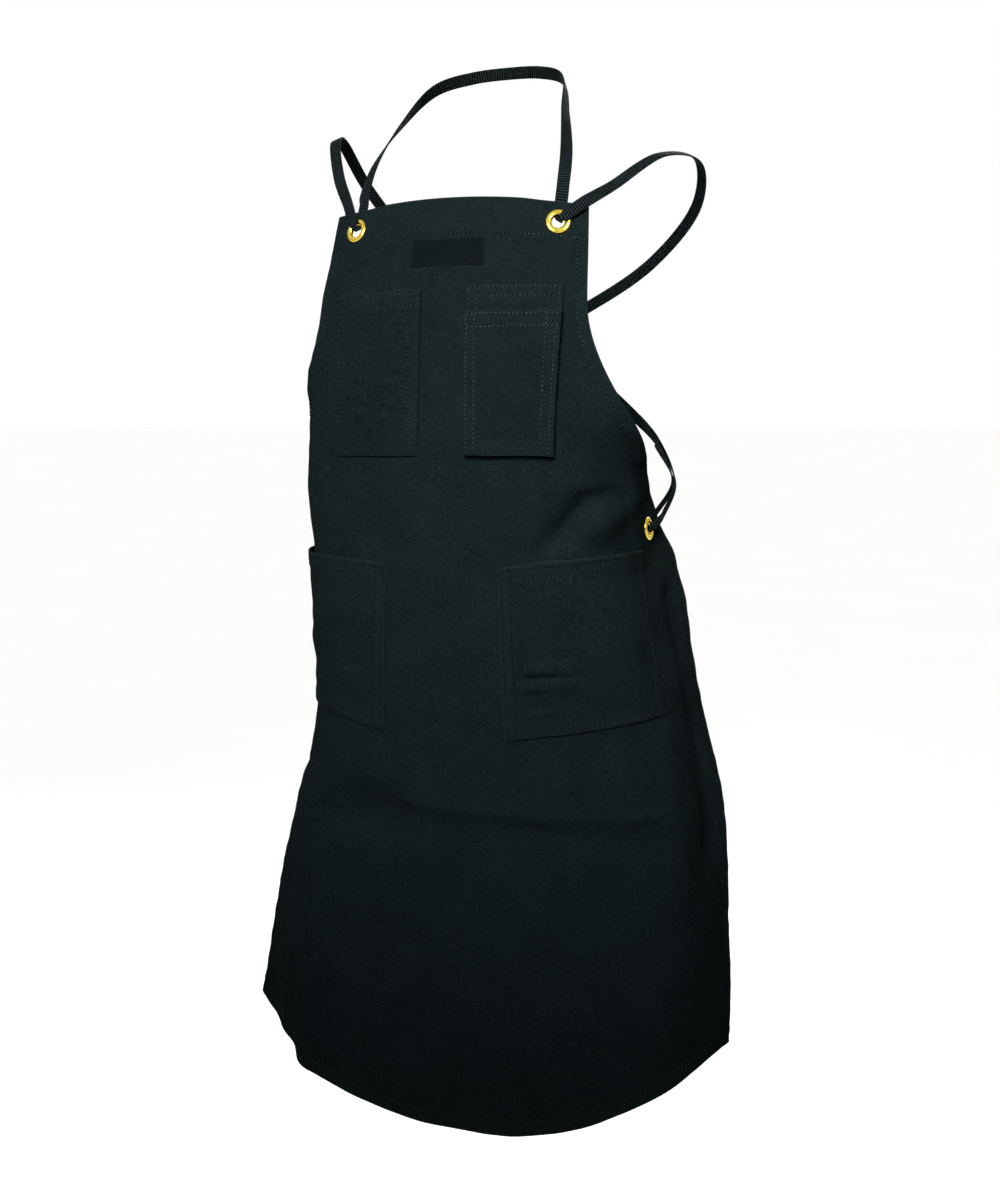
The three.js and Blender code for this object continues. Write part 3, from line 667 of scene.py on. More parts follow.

# Painted light on each pocket's rows of thread: how lit or shaded each row's thread is painted,
# and how much of that painted light is left along a mouth's far half.
RowLight = namedtuple("RowLight", "sides mouth band foot fades")
POCKET_ROW_LIGHTS = {
    "pencil_pocket": RowLight(0.23, 0.32, 0.34, 0.05, 1.0),
    "phone_pocket_rear": RowLight(0.42, 0.50, 0.46, 0.14, 1.0),
    "phone_pocket_front": RowLight(0.60, 0.86, 0.94, 0.14, 1.0),
    "hip_pocket_left": RowLight(0.02, 0.04, 0.26, 0.10, 0.3),
    "hip_pocket_right": RowLight(0.02, 0.04, 0.12, 0.06, 0.5),
}
ROLL_LINES = (0.0, 0.0002, 0.0006, 0.0011)
LINE_GAP = 0.0002
LAST_LINE = 0.0048
PATCH_STEP = 0.0019
PATCH_GAP = 0.0005
SEAM_WIDTH = 0.0128
MOUTH_WIDTH = 0.0165
SEAM_LAYER = 0.0006
FRONT_STANDS = 0.0016
MIDDLE_ROWS = (0.0415, 0.0500)
# Painted light on the pencil pocket's middle rows, as a share of the painted light on its side rows.
MIDDLE_ROW_LIGHT = 0.6
PATCH_ROLL = 0.0012
PATCH_LEAST = 0.0003
PATCH_WEAR = 0.0014
TURNED_WEAR = 0.2
TURNED_STEP = 0.0045
PATCH_UV = (0.7, 0.3)

# Slack of the pockets' cloth: the form of the gape, where it comes loose from the seams, and its waves.
HUMP_POWER = 0.8
LOOSE_START = 0.011
LOOSE_REACH = 0.018
SLACK_DEPTH = 0.0007
SLACK_HEIGHT = 0.0005
SLACK_LENGTH = 0.045
GATHER_HEIGHT = 0.00016
GATHER_LENGTH = 0.011
GATHER_REACH = 0.009
GATHER_SEED = 7

# Small folds on the pockets: places are shares of the width, from the near side, and of the depth.
PATCH_FOLDS = {
    "pencil_pocket": (
        Fold(0.20, 0.512, 0.42, 0.518, 0.016, -0.0017),
        Fold(0.18, 0.550, 0.44, 0.556, 0.028, 0.0016),
        Fold(0.64, 0.562, 0.84, 0.572, 0.016, -0.0014),
        Fold(0.62, 0.602, 0.82, 0.612, 0.028, 0.0013),
        Fold(0.60, 0.700, 0.84, 0.680, 0.016, -0.0016),
        Fold(0.62, 0.738, 0.82, 0.722, 0.028, 0.0015),
        Fold(0.20, 0.724, 0.44, 0.716, 0.016, -0.0015),
        Fold(0.20, 0.762, 0.42, 0.754, 0.028, 0.0014),
        Fold(0.62, 0.820, 0.82, 0.810, 0.020, -0.0009),
    ),
    "phone_pocket_front": (
        Fold(0.25, 0.62, 0.70, 0.66, 0.120, 0.0015),
        Fold(0.40, 0.90, 0.62, 0.93, 0.050, -0.0010),
    ),
    "hip_pocket_left": (
        Fold(0.12, 0.602, 0.42, 0.622, 0.036, 0.0032),
        Fold(0.14, 0.650, 0.34, 0.662, 0.014, -0.0024),
        Fold(0.08, 0.644, 0.48, 0.672, 0.012, -0.0013),
        Fold(0.12, 0.700, 0.44, 0.712, 0.040, 0.0040),
        Fold(0.09, 0.752, 0.22, 0.728, 0.014, -0.0016),
        Fold(0.10, 0.838, 0.28, 0.826, 0.015, -0.0022),
        Fold(0.12, 0.880, 0.30, 0.868, 0.030, 0.0022),
        Fold(0.55, 0.22, 0.86, 0.34, 0.090, 0.0017),
        Fold(0.50, 0.55, 0.88, 0.62, 0.110, 0.0014),
    ),
    "hip_pocket_right": (
        Fold(0.20, 0.30, 0.45, 0.34, 0.060, 0.0014),
        Fold(0.10, 0.56, 0.24, 0.66, 0.045, -0.0019),
        Fold(0.55, 0.62, 0.80, 0.58, 0.060, 0.0015),
    ),
}


class Patch:
    """A pocket sewn on the cloth at its sides and foot. Share runs from its near side to its far
    side and fall from its mouth to its foot."""

    def __init__(self, cloth, row, under=None):
        self.cloth = cloth
        self.row = row
        self.under = under
        self.width = (row.far - row.near + row.foot_far - row.foot_near) / 2
        self.depth = (row.foot - row.top + row.outer_foot - row.outer_top) / 2

    def place(self, share, fall):
        row = self.row
        near = row.near + (row.foot_near - row.near) * fall
        far = row.far + (row.foot_far - row.far) * fall
        top = row.top + (row.outer_top - row.top) * share - row.bow * 4 * share * (1 - share)
        foot = row.foot + (row.outer_foot - row.foot) * share
        return row.side * (near + (far - near) * share), top + (foot - top) * fall

    def edges(self, share, fall):
        """Distances from the near side, the far side, the mouth and the foot."""
        return share * self.width, (1 - share) * self.width, fall * self.depth, (1 - fall) * self.depth

    def seam(self, share, fall):
        """Distance from the nearest seam."""
        near, far, _, foot = self.edges(share, fall)
        return np.minimum(np.minimum(near, far), foot)

    def lift(self, share, fall):
        """How far the pocket's cloth stands off what lies behind it."""
        row = self.row
        x, y = share * self.width, fall * self.depth
        hump = np.abs(np.sin(row.humps * math.pi * share)) ** HUMP_POWER
        gape = row.lift * hump * (1 - fall * fall)
        seam = self.seam(share, fall)
        loose = smooth_step((seam - LOOSE_START) / LOOSE_REACH)
        slack = SLACK_DEPTH + SLACK_HEIGHT * soft_noise(x, y, SLACK_LENGTH, seed=len(row.name))
        folds = fold_height(PATCH_FOLDS.get(row.name, ()), share, fall)
        ripple = soft_noise(x, y, GATHER_LENGTH, seed=GATHER_SEED + len(row.name))
        gather = np.exp(-seam / GATHER_REACH)
        return np.maximum(gape + loose * (slack + folds), 0) + GATHER_HEIGHT * gather * (1 + ripple)

    def turned(self, share, fall):
        """Where cloth is turned under at the seams and the mouth."""
        seam, mouth = self.seam(share, fall), fall * self.depth
        return np.maximum(ramp(SEAM_WIDTH - seam, TURNED_STEP), ramp(MOUTH_WIDTH - mouth, TURNED_STEP))

    def layers(self, share, fall):
        """Thickness of the pocket's cloth with what is turned under at its seams and mouth."""
        turned = self.turned(share, fall)
        stands = 0 if self.under is None else FRONT_STANDS
        return self.cloth.thickness + SEAM_LAYER * turned + stands

    def floor(self, share, fall):
        """Height of the inner face above the middle of the body's cloth."""
        if self.under is None:
            below = self.cloth.thickness / 2
        else:
            below = self.under.roof(*self.under.same_place(self, share, fall))
        return below + PATCH_GAP + self.lift(share, fall)

    def same_place(self, other, share, fall):
        """Share and fall here of a place on a patch that has the same sides and foot."""
        return share, 1 - (1 - fall) * other.depth / self.depth

    def roof(self, share, fall):
        """Height of the outer face above the middle of the body's cloth."""
        row = self.row
        near, far, mouth, foot = self.edges(share, fall)
        dips = [bar(near, d) for d in row.rows_near] + [bar(far, d) for d in row.rows_far]
        dips += [bar(mouth, d) for d in row.mouth] + [bar(foot, d) for d in FOOT_ROWS]
        edge = np.minimum(np.minimum(near, far), np.minimum(mouth, foot))
        thick = self.layers(share, fall) * rolled(edge, PATCH_ROLL) - STITCH_DIP * np.max(dips, axis=0)
        return self.floor(share, fall) + np.maximum(thick, PATCH_LEAST)

    def outer(self, share, fall):
        """Outer face of the pocket and the way that it looks."""
        here = self.cloth.frame(*self.place(share, fall))
        return here.point + here.face * self.roof(share, fall)[..., None], here.face


def make_patches(cloth):
    patches = {}
    for row in PATCHES:
        under = patches["phone_pocket_rear"] if row.name == "phone_pocket_front" else None
        patches[row.name] = Patch(cloth, row, under)
    return patches


def seam_lines(rows):
    """Grid lines near an edge: close together at its roll and along each row of stitches."""
    near_rows = [d + shift for d in rows for shift in (-ROW_REACH, 0, ROW_REACH)]
    between = (rows[0] + rows[1]) / 2
    clear = [d for d in near_rows if d > ROLL_LINES[-1] + LINE_GAP]
    return sorted({*ROLL_LINES, *clear, between, rows[1] + LAST_LINE})


class APRON_OT_pockets(Operator):
    """The five patch pockets, each a sheet with turned edges and an open mouth."""

    bl_idname = "apron.pockets"
    bl_label = "Pockets"

    def execute(self, context):
        cloth = Cloth(context.scene.apron_cut)
        for name, patch in make_patches(cloth).items():
            self.build(context, name, patch)
        return {"FINISHED"}

    def build(self, context, name, patch):
        row = patch.row
        columns = spaced(patch.width, seam_lines(row.rows_near), seam_lines(row.rows_far), PATCH_STEP)
        rows = spaced(patch.depth, seam_lines(row.mouth), seam_lines(FOOT_ROWS), PATCH_STEP)
        share, fall = columns / patch.width, rows / patch.depth
        if row.side < 0:
            share = share[::-1]
        share, fall = np.meshgrid(share, fall)
        across, drop = patch.place(share, fall)
        here = patch.cloth.frame(across, drop)
        outer = here.point + here.face * patch.roof(share, fall)[..., None]
        inner = here.point + here.face * patch.floor(share, fall)[..., None]
        edge = np.min(patch.edges(share, fall), axis=0)
        wear = np.exp(-edge / PATCH_WEAR) + TURNED_WEAR * patch.turned(share, fall)
        piece = f"{name}_cloth"
        mesh = sheet_mesh(piece, outer, inner, across + PATCH_UV[0], drop + PATCH_UV[1], wear)
        obj = new_piece(piece, mesh)
        finish_piece(obj, cotton_material(context))
        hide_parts(name)


LABEL_DROP = 0.050
LABEL_HALF = 0.036
LABEL_TALL = 0.025
LABEL_THICK = 0.0006
LABEL_FOLD = 0.007
LABEL_LINES = (0.0, 0.0002, 0.0006, 0.0011, 0.0016, 0.0022, 0.0030, 0.0040)
LABEL_ROW = 0.0017
LABEL_END = 0.0004
LABEL_FINE = 0.0006
LABEL_DIP = 0.00012
LABEL_ROLL = 0.0008
LABEL_BASE = 0.00045
LABEL_GAP = 0.0003
LABEL_STEP = 0.0020
# Painted light on the label's rows of thread: they are painted dark, as shaded.
LABEL_ROW_LIGHT = 0.12


def label_roof(cloth, side, level):
    """Height of the label's face above the middle of the body's cloth."""
    edge = np.minimum(side, level)
    folded = LABEL_END * ramp(LABEL_FOLD - side, LABEL_FINE)
    dip = LABEL_DIP * bar(edge, LABEL_ROW, LABEL_FINE)
    thick = (LABEL_THICK + folded) * rolled(edge, LABEL_ROLL) - dip
    return cloth.thickness / 2 + LABEL_BASE + thick


def label_outer(cloth, across, drop):
    """Outer face of the label and the way that it looks."""
    here = cloth.frame(across, drop)
    side = LABEL_HALF - np.abs(across)
    level = LABEL_TALL / 2 - np.abs(drop - LABEL_DROP)
    return here.point + here.face * label_roof(cloth, side, level)[..., None], here.face


class APRON_OT_label(Operator):
    """The bare woven label on the bib, with its ends folded under."""

    bl_idname = "apron.label"
    bl_label = "Label"

    def execute(self, context):
        cloth = Cloth(context.scene.apron_cut)
        across = spaced(2 * LABEL_HALF, LABEL_LINES, LABEL_LINES, LABEL_STEP) - LABEL_HALF
        drop = spaced(LABEL_TALL, LABEL_LINES, LABEL_LINES, LABEL_STEP) - LABEL_TALL / 2 + LABEL_DROP
        across, drop = np.meshgrid(across, drop)
        outer, face = label_outer(cloth, across, drop)
        here = cloth.frame(across, drop)
        inner = here.point + face * (cloth.thickness / 2 + LABEL_GAP)
        edge = np.minimum(LABEL_HALF - np.abs(across), LABEL_TALL / 2 - np.abs(drop - LABEL_DROP))
        mesh = sheet_mesh("label_weave", outer, inner, across, drop, np.exp(-edge / LABEL_ROLL))
        obj = new_piece("label_weave", mesh)
        finish_piece(obj, label_material(context))
        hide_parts("label")
        return {"FINISHED"}


# Stitches: the form of one, the near-black disc of painted shadow at its needle hole, and how much
# each differs in slant, place and tone.
STITCH_SIDES = 6
STITCH_RINGS = 5
STITCH_RISE = 0.18
STITCH_DIVE = 0.42
HOLE_CORNERS = 7
HOLE_SHARE = 0.95
HOLE_LIFT = 0.00006
PLACES_PER_SPAN = 40
ALONG_STEP = 0.001
SLANT = 0.05
SLANT_SPREAD = 0.03
PLACE_SPREAD = 0.00008
TONE_SPREAD = 0.22
THREAD_ANGLE = 70

# Rows along the hems: the shares and drops between which each runs, the places that it is read at, and
# where the top row and the left row change their painted light. Each row's thread is painted lit or shaded.
TOP_END = 0.985
TOP_PLACES = 67
TOP_CHANGE = 46
FOOT_END = 0.965
FOOT_PLACES = 121
SIDE_START = 0.012
SIDE_END = 0.84
SIDE_PLACES = 240
FOOT_CLEAR = 0.012
ARMHOLE_END = 0.27
SKIRT_START = 0.26
HemLight = namedtuple("HemLight", "top_right top_left armhole skirt right foot")
HEM_ROW_LIGHTS = HemLight(0.20, 0.62, 0.34, 0.10, 0.12, 0.26)
ROW_INSET = 0.002

# Starts of the random numbers for the hems, the pockets and the label.
HEM_SEED = 11
POCKET_SEED = 20
LABEL_SEED = 40


def stitch_seed(sewing):
    """One stitch, modelled by hand: a short thread that dives into the cloth at both ends."""
    deselect()
    bpy.ops.mesh.primitive_uv_sphere_add(
        segments=STITCH_SIDES, ring_count=STITCH_RINGS, radius=0.5, rotation=(0, math.pi / 2, 0)
    )
    seed = bpy.context.object
    bpy.ops.object.transform_apply(location=True, rotation=True, scale=True)
    bpy.ops.object.mode_set(mode="EDIT")
    bpy.ops.mesh.select_all(action="SELECT")
    bpy.ops.transform.resize(value=(sewing.stitch, sewing.thread, sewing.thread))
    bpy.ops.object.mode_set(mode="OBJECT")
    for vertex in seed.data.vertices:
        reach = abs(vertex.co.x) / (sewing.stitch / 2)
        vertex.co.z += sewing.thread * (STITCH_RISE - STITCH_DIVE * reach**3)
    return take_mesh(seed)


def hole_shadow_seed(sewing):
    """A near-black disc at one needle hole: painted shadow of the hole."""
    deselect()
    bpy.ops.mesh.primitive_circle_add(
        vertices=HOLE_CORNERS, radius=HOLE_SHARE * sewing.thread, fill_type="NGON"
    )
    return take_mesh(bpy.context.object)


def take_mesh(obj):
    """Places and faces of a seed object, which is then removed."""
    places = np.array([vertex.co[:] for vertex in obj.data.vertices])
    faces = [list(polygon.vertices) for polygon in obj.data.polygons]
    mesh = obj.data
    bpy.data.objects.remove(obj)
    bpy.data.meshes.remove(mesh)
    return places, faces


class Stitching:
    """Gathers rows of stitches into one mesh."""

    def __init__(self, sewing, seed):
        self.sewing = sewing
        self.stitch = stitch_seed(sewing)
        self.hole = hole_shadow_seed(sewing)
        self.rng = np.random.default_rng(seed)
        self.places, self.faces, self.slots, self.painted_lights = [], [], [], []
        self.count = 0

    def row(self, surface, path, tone, pitch=None):
        """A row along a path of places that the surface function reads, its thread painted from shaded (0) to
        lit (1) by tone.
        """
        path = np.asarray(path, float)
        run = np.linspace(0, len(path) - 1, PLACES_PER_SPAN * (len(path) - 1) + 1)
        x = np.interp(run, np.arange(len(path)), path[:, 0])
        y = np.interp(run, np.arange(len(path)), path[:, 1])
        points, _ = surface(x, y)
        walked = np.concatenate([[0], np.cumsum(np.linalg.norm(np.diff(points, axis=0), axis=1))])
        count = max(1, int(round(walked[-1] / (pitch or self.sewing.pitch))))
        centre = (np.arange(count) + 0.5) / count * walked[-1]
        spots = [np.interp(centre + shift, walked, run) for shift in (0, -ALONG_STEP, ALONG_STEP)]
        start = np.interp(np.arange(count + 1) / count * walked[-1], walked, run)
        at, before, after, holes = (
            surface(np.interp(r, run, x), np.interp(r, run, y)) for r in (*spots, start)
        )
        along = unit(after[0] - before[0])
        up = unit(at[1])
        side = unit(np.cross(up, along))
        slant = self.rng.normal(SLANT, SLANT_SPREAD, count)[:, None]
        along = unit(along + slant * side)
        side = np.cross(up, along)
        shift = self.rng.normal(0, PLACE_SPREAD, count)[:, None]
        # Each stitch keeps its row's painted light, varied a little at random.
        painted_lights = np.clip(tone * self.rng.normal(1, TONE_SPREAD, count), 0, 1)
        self.copy(self.stitch, at[0] + side * shift, along, side, up, 0, painted_lights)
        # A near-black disc of painted shadow at each needle hole, lifted just off the cloth.
        run_up = unit(holes[1])
        raised = holes[0] + run_up * HOLE_LIFT
        run_side = unit(np.cross(run_up, np.concatenate([along, along[-1:]])))
        run_along = unit(np.cross(run_side, run_up))
        self.copy(self.hole, raised, run_along, run_side, run_up, 1, np.zeros(count + 1))

    def copy(self, seed, at, along, side, up, slot, painted_lights):
        places, faces = seed
        turned = np.einsum("vi,nij->nvj", places, np.stack([along, side, up], axis=1)) + at[:, None, :]
        for _ in range(len(at)):
            self.faces += [[self.count + v for v in face] for face in faces]
            self.slots += [slot] * len(faces)
            self.count += len(places)
        self.places.append(turned.reshape(-1, 3))
        self.painted_lights.append(np.repeat(painted_lights, len(places)))

    def piece(self, name, context):
        mesh = bpy.data.meshes.new(name)
        mesh.from_pydata(np.concatenate(self.places).tolist(), [], self.faces)
        # The thread's painted light goes in its wear attribute, which the thread's material reads.
        write_wear_and_light(mesh, np.concatenate(self.painted_lights))
        obj = new_piece(name, mesh)
        finish_piece(obj, thread_material(context), angle=THREAD_ANGLE)
        mesh.materials.append(hole_shadow_material(context))
        mesh.polygons.foreach_set("material_index", self.slots)
        return obj


class APRON_OT_stitching(Operator):
    """Rows of topstitching on the hems, the pockets and the label."""

    bl_idname = "apron.stitching"
    bl_label = "Stitching"

    def execute(self, context):
        cloth = Cloth(context.scene.apron_cut)
        sewing = context.scene.apron_sewing
        self.hems(context, cloth, Stitching(sewing, HEM_SEED))
        patches = make_patches(cloth)
        front_depth = patches["phone_pocket_front"].depth
        for name, patch in patches.items():
            self.pocket(context, name, patch, front_depth, Stitching(sewing, POCKET_SEED + len(name)))
        self.label(context, cloth, Stitching(sewing, LABEL_SEED))
        return {"FINISHED"}

    def hems(self, context, cloth, sewn):
        """Each row is sewn on the outer side and then on the inner side."""
        def faced(side):
            height = cloth.thickness / 2 + (cloth.turn_in if side < 0 else 0) - STITCH_DIP / 2

            def surface(across, drop):
                here = cloth.frame(across, drop)
                return here.point + side * here.face * height, side * here.face
            return surface

        share = np.linspace(-TOP_END, TOP_END, TOP_PLACES)
        top = cloth.top(share) + TOP_ROW
        top_row = np.stack([share * cloth.half(top), top], axis=1)
        drop = np.linspace(SIDE_START, SIDE_END, SIDE_PLACES)
        edge = cloth.half(drop) - SIDE_ROW * cloth.side_slant(drop)
        rows = [np.stack([side * edge, drop], axis=1) for side in (1, -1)]
        inside = [drop < cloth.foot(row[:, 0] / cloth.half(drop)) - FOOT_CLEAR for row in rows]
        wide = np.linspace(-FOOT_END, FOOT_END, FOOT_PLACES)
        low = cloth.foot(wide) - FOOT_ROW * cloth.foot_slant(wide)
        foot_row = np.stack([wide * cloth.half(low), low], axis=1)
        for side in (1, -1):
            surface = faced(side)
            sewn.row(surface, top_row[:TOP_CHANGE + 1], HEM_ROW_LIGHTS.top_right)
            sewn.row(surface, top_row[TOP_CHANGE:], HEM_ROW_LIGHTS.top_left)
            sewn.row(surface, rows[0][inside[0] & (drop < ARMHOLE_END)], HEM_ROW_LIGHTS.armhole)
            sewn.row(surface, rows[0][inside[0] & (drop > SKIRT_START)], HEM_ROW_LIGHTS.skirt)
            sewn.row(surface, rows[1][inside[1]], HEM_ROW_LIGHTS.right)
            sewn.row(surface, foot_row, HEM_ROW_LIGHTS.foot)
        sewn.piece("stitching_hems", context)

    def pocket(self, context, name, patch, front_depth, sewn):
        """Two rows along each seam and the mouth. The rear layer's side rows end where the front begins."""
        row = patch.row
        # Each row's thread is painted lit or shaded by its tone.
        tone = POCKET_ROW_LIGHTS[name]
        covered = name == "phone_pocket_rear"
        start = ROW_INSET / patch.depth
        stop = 1 - (front_depth if covered else ROW_INSET) / patch.depth
        turn = row.mouth[1] / patch.depth
        sides = [d / patch.width for d in row.rows_near] + [1 - d / patch.width for d in row.rows_far]
        for share in sides:
            sewn.row(patch.outer, [(share, start), (share, turn)], max(tone.sides, tone.mouth))
            sewn.row(patch.outer, [(share, turn), (share, stop)], tone.sides)
        inset = ROW_INSET / patch.width
        # The mouth rows' painted light drops along the far half of the mouth.
        for d, bright in zip(row.mouth, (tone.mouth, tone.band)):
            stops = [(share, d / patch.depth) for share in (inset, 0.5, 1 - inset)]
            sewn.row(patch.outer, stops[:2], bright)
            sewn.row(patch.outer, stops[1:], bright * tone.fades)
        if not covered:
            for d in FOOT_ROWS:
                fall = 1 - d / patch.depth
                sewn.row(patch.outer, [(sides[0], fall), (sides[2], fall)], tone.foot)
        if name == "pencil_pocket":
            low = 1 - FOOT_ROWS[0] / patch.depth
            for d in MIDDLE_ROWS:
                share = d / patch.width
                sewn.row(patch.outer, [(share, 2 * start), (share, low)], MIDDLE_ROW_LIGHT * tone.sides)
        sewn.piece(f"stitching_{name}", context)

    def label(self, context, cloth, sewn):
        wide = LABEL_HALF - LABEL_ROW
        tall = LABEL_TALL / 2 - LABEL_ROW
        corners = [(-wide, -tall), (wide, -tall), (wide, tall), (-wide, tall), (-wide, -tall)]
        path = [(x, LABEL_DROP + y) for x, y in corners]
        for start, end in zip(path, path[1:]):
            sewn.row(partial(label_outer, cloth), [start, end], LABEL_ROW_LIGHT, sewn.sewing.label_pitch)
        sewn.piece("stitching_label", context)


# Eyelets: how far the flange stands off the cloth, and the turns that its roll and its mouth make.
EYELET_GAP = 0.00035
EYELET_SIDES = 64
EYELET_ANGLE = 40
ROLL_TURNS = np.linspace(-0.35, 1.0, 9)
MOUTH_TURNS = np.linspace(0.12, 1.0, 8)
ROLL_UNDER = -0.1
MOUTH_SINK = 0.0012
CREST_OUT = 0.0002
LIP_IN = 0.0006

# The washer's rounded section: steps from the hole's edge or the flange's rim, and from the washer's back.
BARREL_SHARE = 0.6
WASHER_INNER = ((0.0002, 0.0003), (0.0007, 0.0))
WASHER_OUTER = ((-0.0010, 0.0), (-0.0005, 0.0002))
WASHER_RIM = 0.0004


class APRON_OT_eyelets(Operator):
    """The four brass eyelets: a rolled flange in front, a barrel and a washer behind."""

    bl_idname = "apron.eyelets"
    bl_label = "Eyelets"

    def execute(self, context):
        cloth = Cloth(context.scene.apron_cut)
        for spot, seat in zip(EYELETS, cloth.seats):
            obj = self.build(context.scene.apron_eyelet, cloth, spot.name)
            turn = Vector((0, 0, 1)).rotation_difference(Vector(seat.face)).to_matrix().to_4x4()
            obj.data.transform(Matrix.Translation(Vector(seat.point)) @ turn)
            finish_piece(obj, brass_material(context), angle=EYELET_ANGLE)
            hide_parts(spot.name)
        return {"FINISHED"}

    def build(self, size, cloth, name):
        clamp = cloth.thickness / 2 + EYELET_GAP
        hole, barrel, flange = size.hole / 2, size.barrel / 2, size.flange / 2
        crest = (hole + flange) / 2 + CREST_OUT
        back = -clamp - size.washer
        profile = [(barrel, -clamp), (barrel, clamp), (flange - LIP_IN, clamp - CREST_OUT)]
        for angle in ROLL_TURNS * math.pi / 2:
            height = clamp + size.dome * max(math.sin(angle), ROLL_UNDER)
            profile.append((crest + (flange - crest) * math.cos(angle), height))
        for angle in MOUTH_TURNS * math.pi / 2:
            height = clamp - MOUTH_SINK + (size.dome + MOUTH_SINK) * math.cos(angle)
            profile.append((crest - (crest - hole) * math.sin(angle), height))
        profile.append((hole, -clamp * BARREL_SHARE))
        profile += [(hole + out, back + up) for out, up in WASHER_INNER]
        profile += [(flange + out, back + up) for out, up in WASHER_OUTER]
        profile += [(flange - WASHER_RIM, -clamp), (barrel, -clamp)]
        return spin_profile(f"{name}_brass", profile, EYELET_SIDES)


def spin_profile(name, profile, sides):
    """A ring of the given section: one circle, extruded and scaled from point to point."""
    deselect()
    radius, height = profile[0]
    bpy.ops.mesh.primitive_circle_add(
        vertices=sides, radius=radius, fill_type="NOTHING", location=(0, 0, height)
    )
    obj = bpy.context.object
    obj.name = name
    obj.data.name = name
    bpy.ops.object.transform_apply(location=True, rotation=True, scale=True)
    bpy.ops.object.mode_set(mode="EDIT")
    bpy.ops.mesh.select_all(action="SELECT")
    for (r, z), (last_r, last_z) in zip(profile[1:], profile):
        bpy.ops.mesh.extrude_region_move(TRANSFORM_OT_translate={"value": (0, 0, z - last_z)})
        bpy.ops.transform.resize(value=(r / last_r, r / last_r, 1), center_override=(0, 0, 0))
    bpy.ops.mesh.select_all(action="SELECT")
    bpy.ops.mesh.remove_doubles(threshold=1e-6)
    bpy.ops.mesh.normals_make_consistent(inside=False)
    bpy.ops.object.mode_set(mode="OBJECT")
    return obj


# The webbing's way into an eyelet: distance from the hole's middle, share of the height at which it
# clears the eyelet, how open it is from bunched (0) to full width (1), and how flat it lies on the cloth.
Step = namedtuple("Step", "reach height open over")
HOLE_PATH = (
    Step(0.0280, 1.0, 1.0, 1.0),
    Step(0.0150, 1.0, 1.0, 1.0),
    Step(0.0090, 1.0, 0.8, 1.0),
    Step(0.0055, 1.0, 0.3, 0.95),
    Step(0.0032, 0.8, 0.0, 0.6),
    Step(0.0018, 0.45, 0.0, 0.2),
    Step(0.0012, 0.2, 0.0, 0.0),
    Step(0.0012, 0.07, 0.0, 0.0),
)

# Routes of the webbing over the body: a place and the way that its outer face looks.
Route = namedtuple("Route", "x y z face_x face_y face_z")
NECK_ROUTE = (
    Route(0.100, -0.126, -0.132, -0.2, 1.0, -0.2),
    Route(0.097, -0.108, -0.100, -0.5, 0.7, -0.5),
    Route(0.084, -0.072, -0.056, -0.9, 0.3, -0.4),
    Route(0.066, -0.028, -0.016, -0.9, -0.3, -0.2),
    Route(0.036, -0.006, -0.003, -0.5, -0.85, -0.1),
)
NAPE = Route(0.0, 0.0, 0.0, 0.0, -1.0, -0.1)
LEFT_ROUTE = (
    Route(0.141, -0.110, -0.132, 0.2, -0.8, 0.6),
    Route(0.176, -0.064, -0.099, 0.3, -0.2, 1.0),
    Route(0.200, -0.026, -0.100, 0.6, 0.2, 0.8),
    Route(0.190, 0.016, -0.136, 0.5, 0.8, 0.4),
    Route(0.138, 0.046, -0.186, 0.3, 1.0, 0.1),
    Route(0.068, 0.062, -0.226, 0.1, 1.0, 0.1),
    Route(0.000, 0.068, -0.256, 0.0, 1.0, 0.0),
    Route(-0.060, 0.060, -0.292, -0.2, 1.0, 0.0),
    Route(-0.112, 0.047, -0.332, -0.4, 0.9, 0.0),
    Route(-0.152, 0.026, -0.366, -0.8, 0.55, 0.15),
    Route(-0.178, -0.004, -0.405, -0.98, 0.05, 0.2),
)
RIGHT_ROUTE = (
    Route(-0.132, -0.115, -0.112, -0.2, -0.8, 0.6),
    Route(-0.158, -0.072, -0.068, -0.3, -0.4, 0.9),
    Route(-0.168, -0.036, -0.064, -0.4, 0.3, 0.9),
    Route(-0.160, 0.006, -0.104, -0.3, 0.8, 0.5),
    Route(-0.118, 0.040, -0.166, -0.2, 1.0, 0.2),
    Route(-0.060, 0.057, -0.216, -0.1, 1.0, 0.1),
    Route(0.000, 0.065, -0.256, 0.0, 1.0, 0.0),
    Route(0.060, 0.060, -0.292, 0.2, 1.0, 0.0),
    Route(0.112, 0.047, -0.332, 0.4, 0.9, 0.0),
    Route(0.152, 0.026, -0.366, 0.8, 0.55, 0.15),
    Route(0.178, -0.004, -0.405, 0.98, 0.05, 0.2),
)
NECK_WAY = (0.05, 1.0)
SHOULDER_LEFT = (0.8, 0.6)
SHOULDER_RIGHT = (-0.45, 0.9)
SIDE_LEFT = (0.97, 0.22)
SIDE_RIGHT = (-0.97, 0.22)
STRAP_GAP = 0.0006
EDGE_REACH = 0.046
EDGE_OUTER = 0.0036
EDGE_INNER = -0.0046
TAIL_ROWS = 2
Station = namedtuple("Station", "at face wide")

# Half of the webbing's section: share of the half width and of the half thickness.
SECTION = ((1.0, 0.0), (0.985, 0.55), (0.92, 0.9), (0.75, 1.0), (0.38, 1.0), (0.0, 1.0))
SAMPLES_PER_RIB = 4
SAMPLES_PER_SPAN = 16
RIB_POWER = 1.2
RIB_EDGE = 0.0002
WEAR_POWER = 6
WEBBING_ANGLE = 60
SHORTEST_SPAN = 1e-5


def flat_unit(way):
    return np.array(way) / math.hypot(*way)


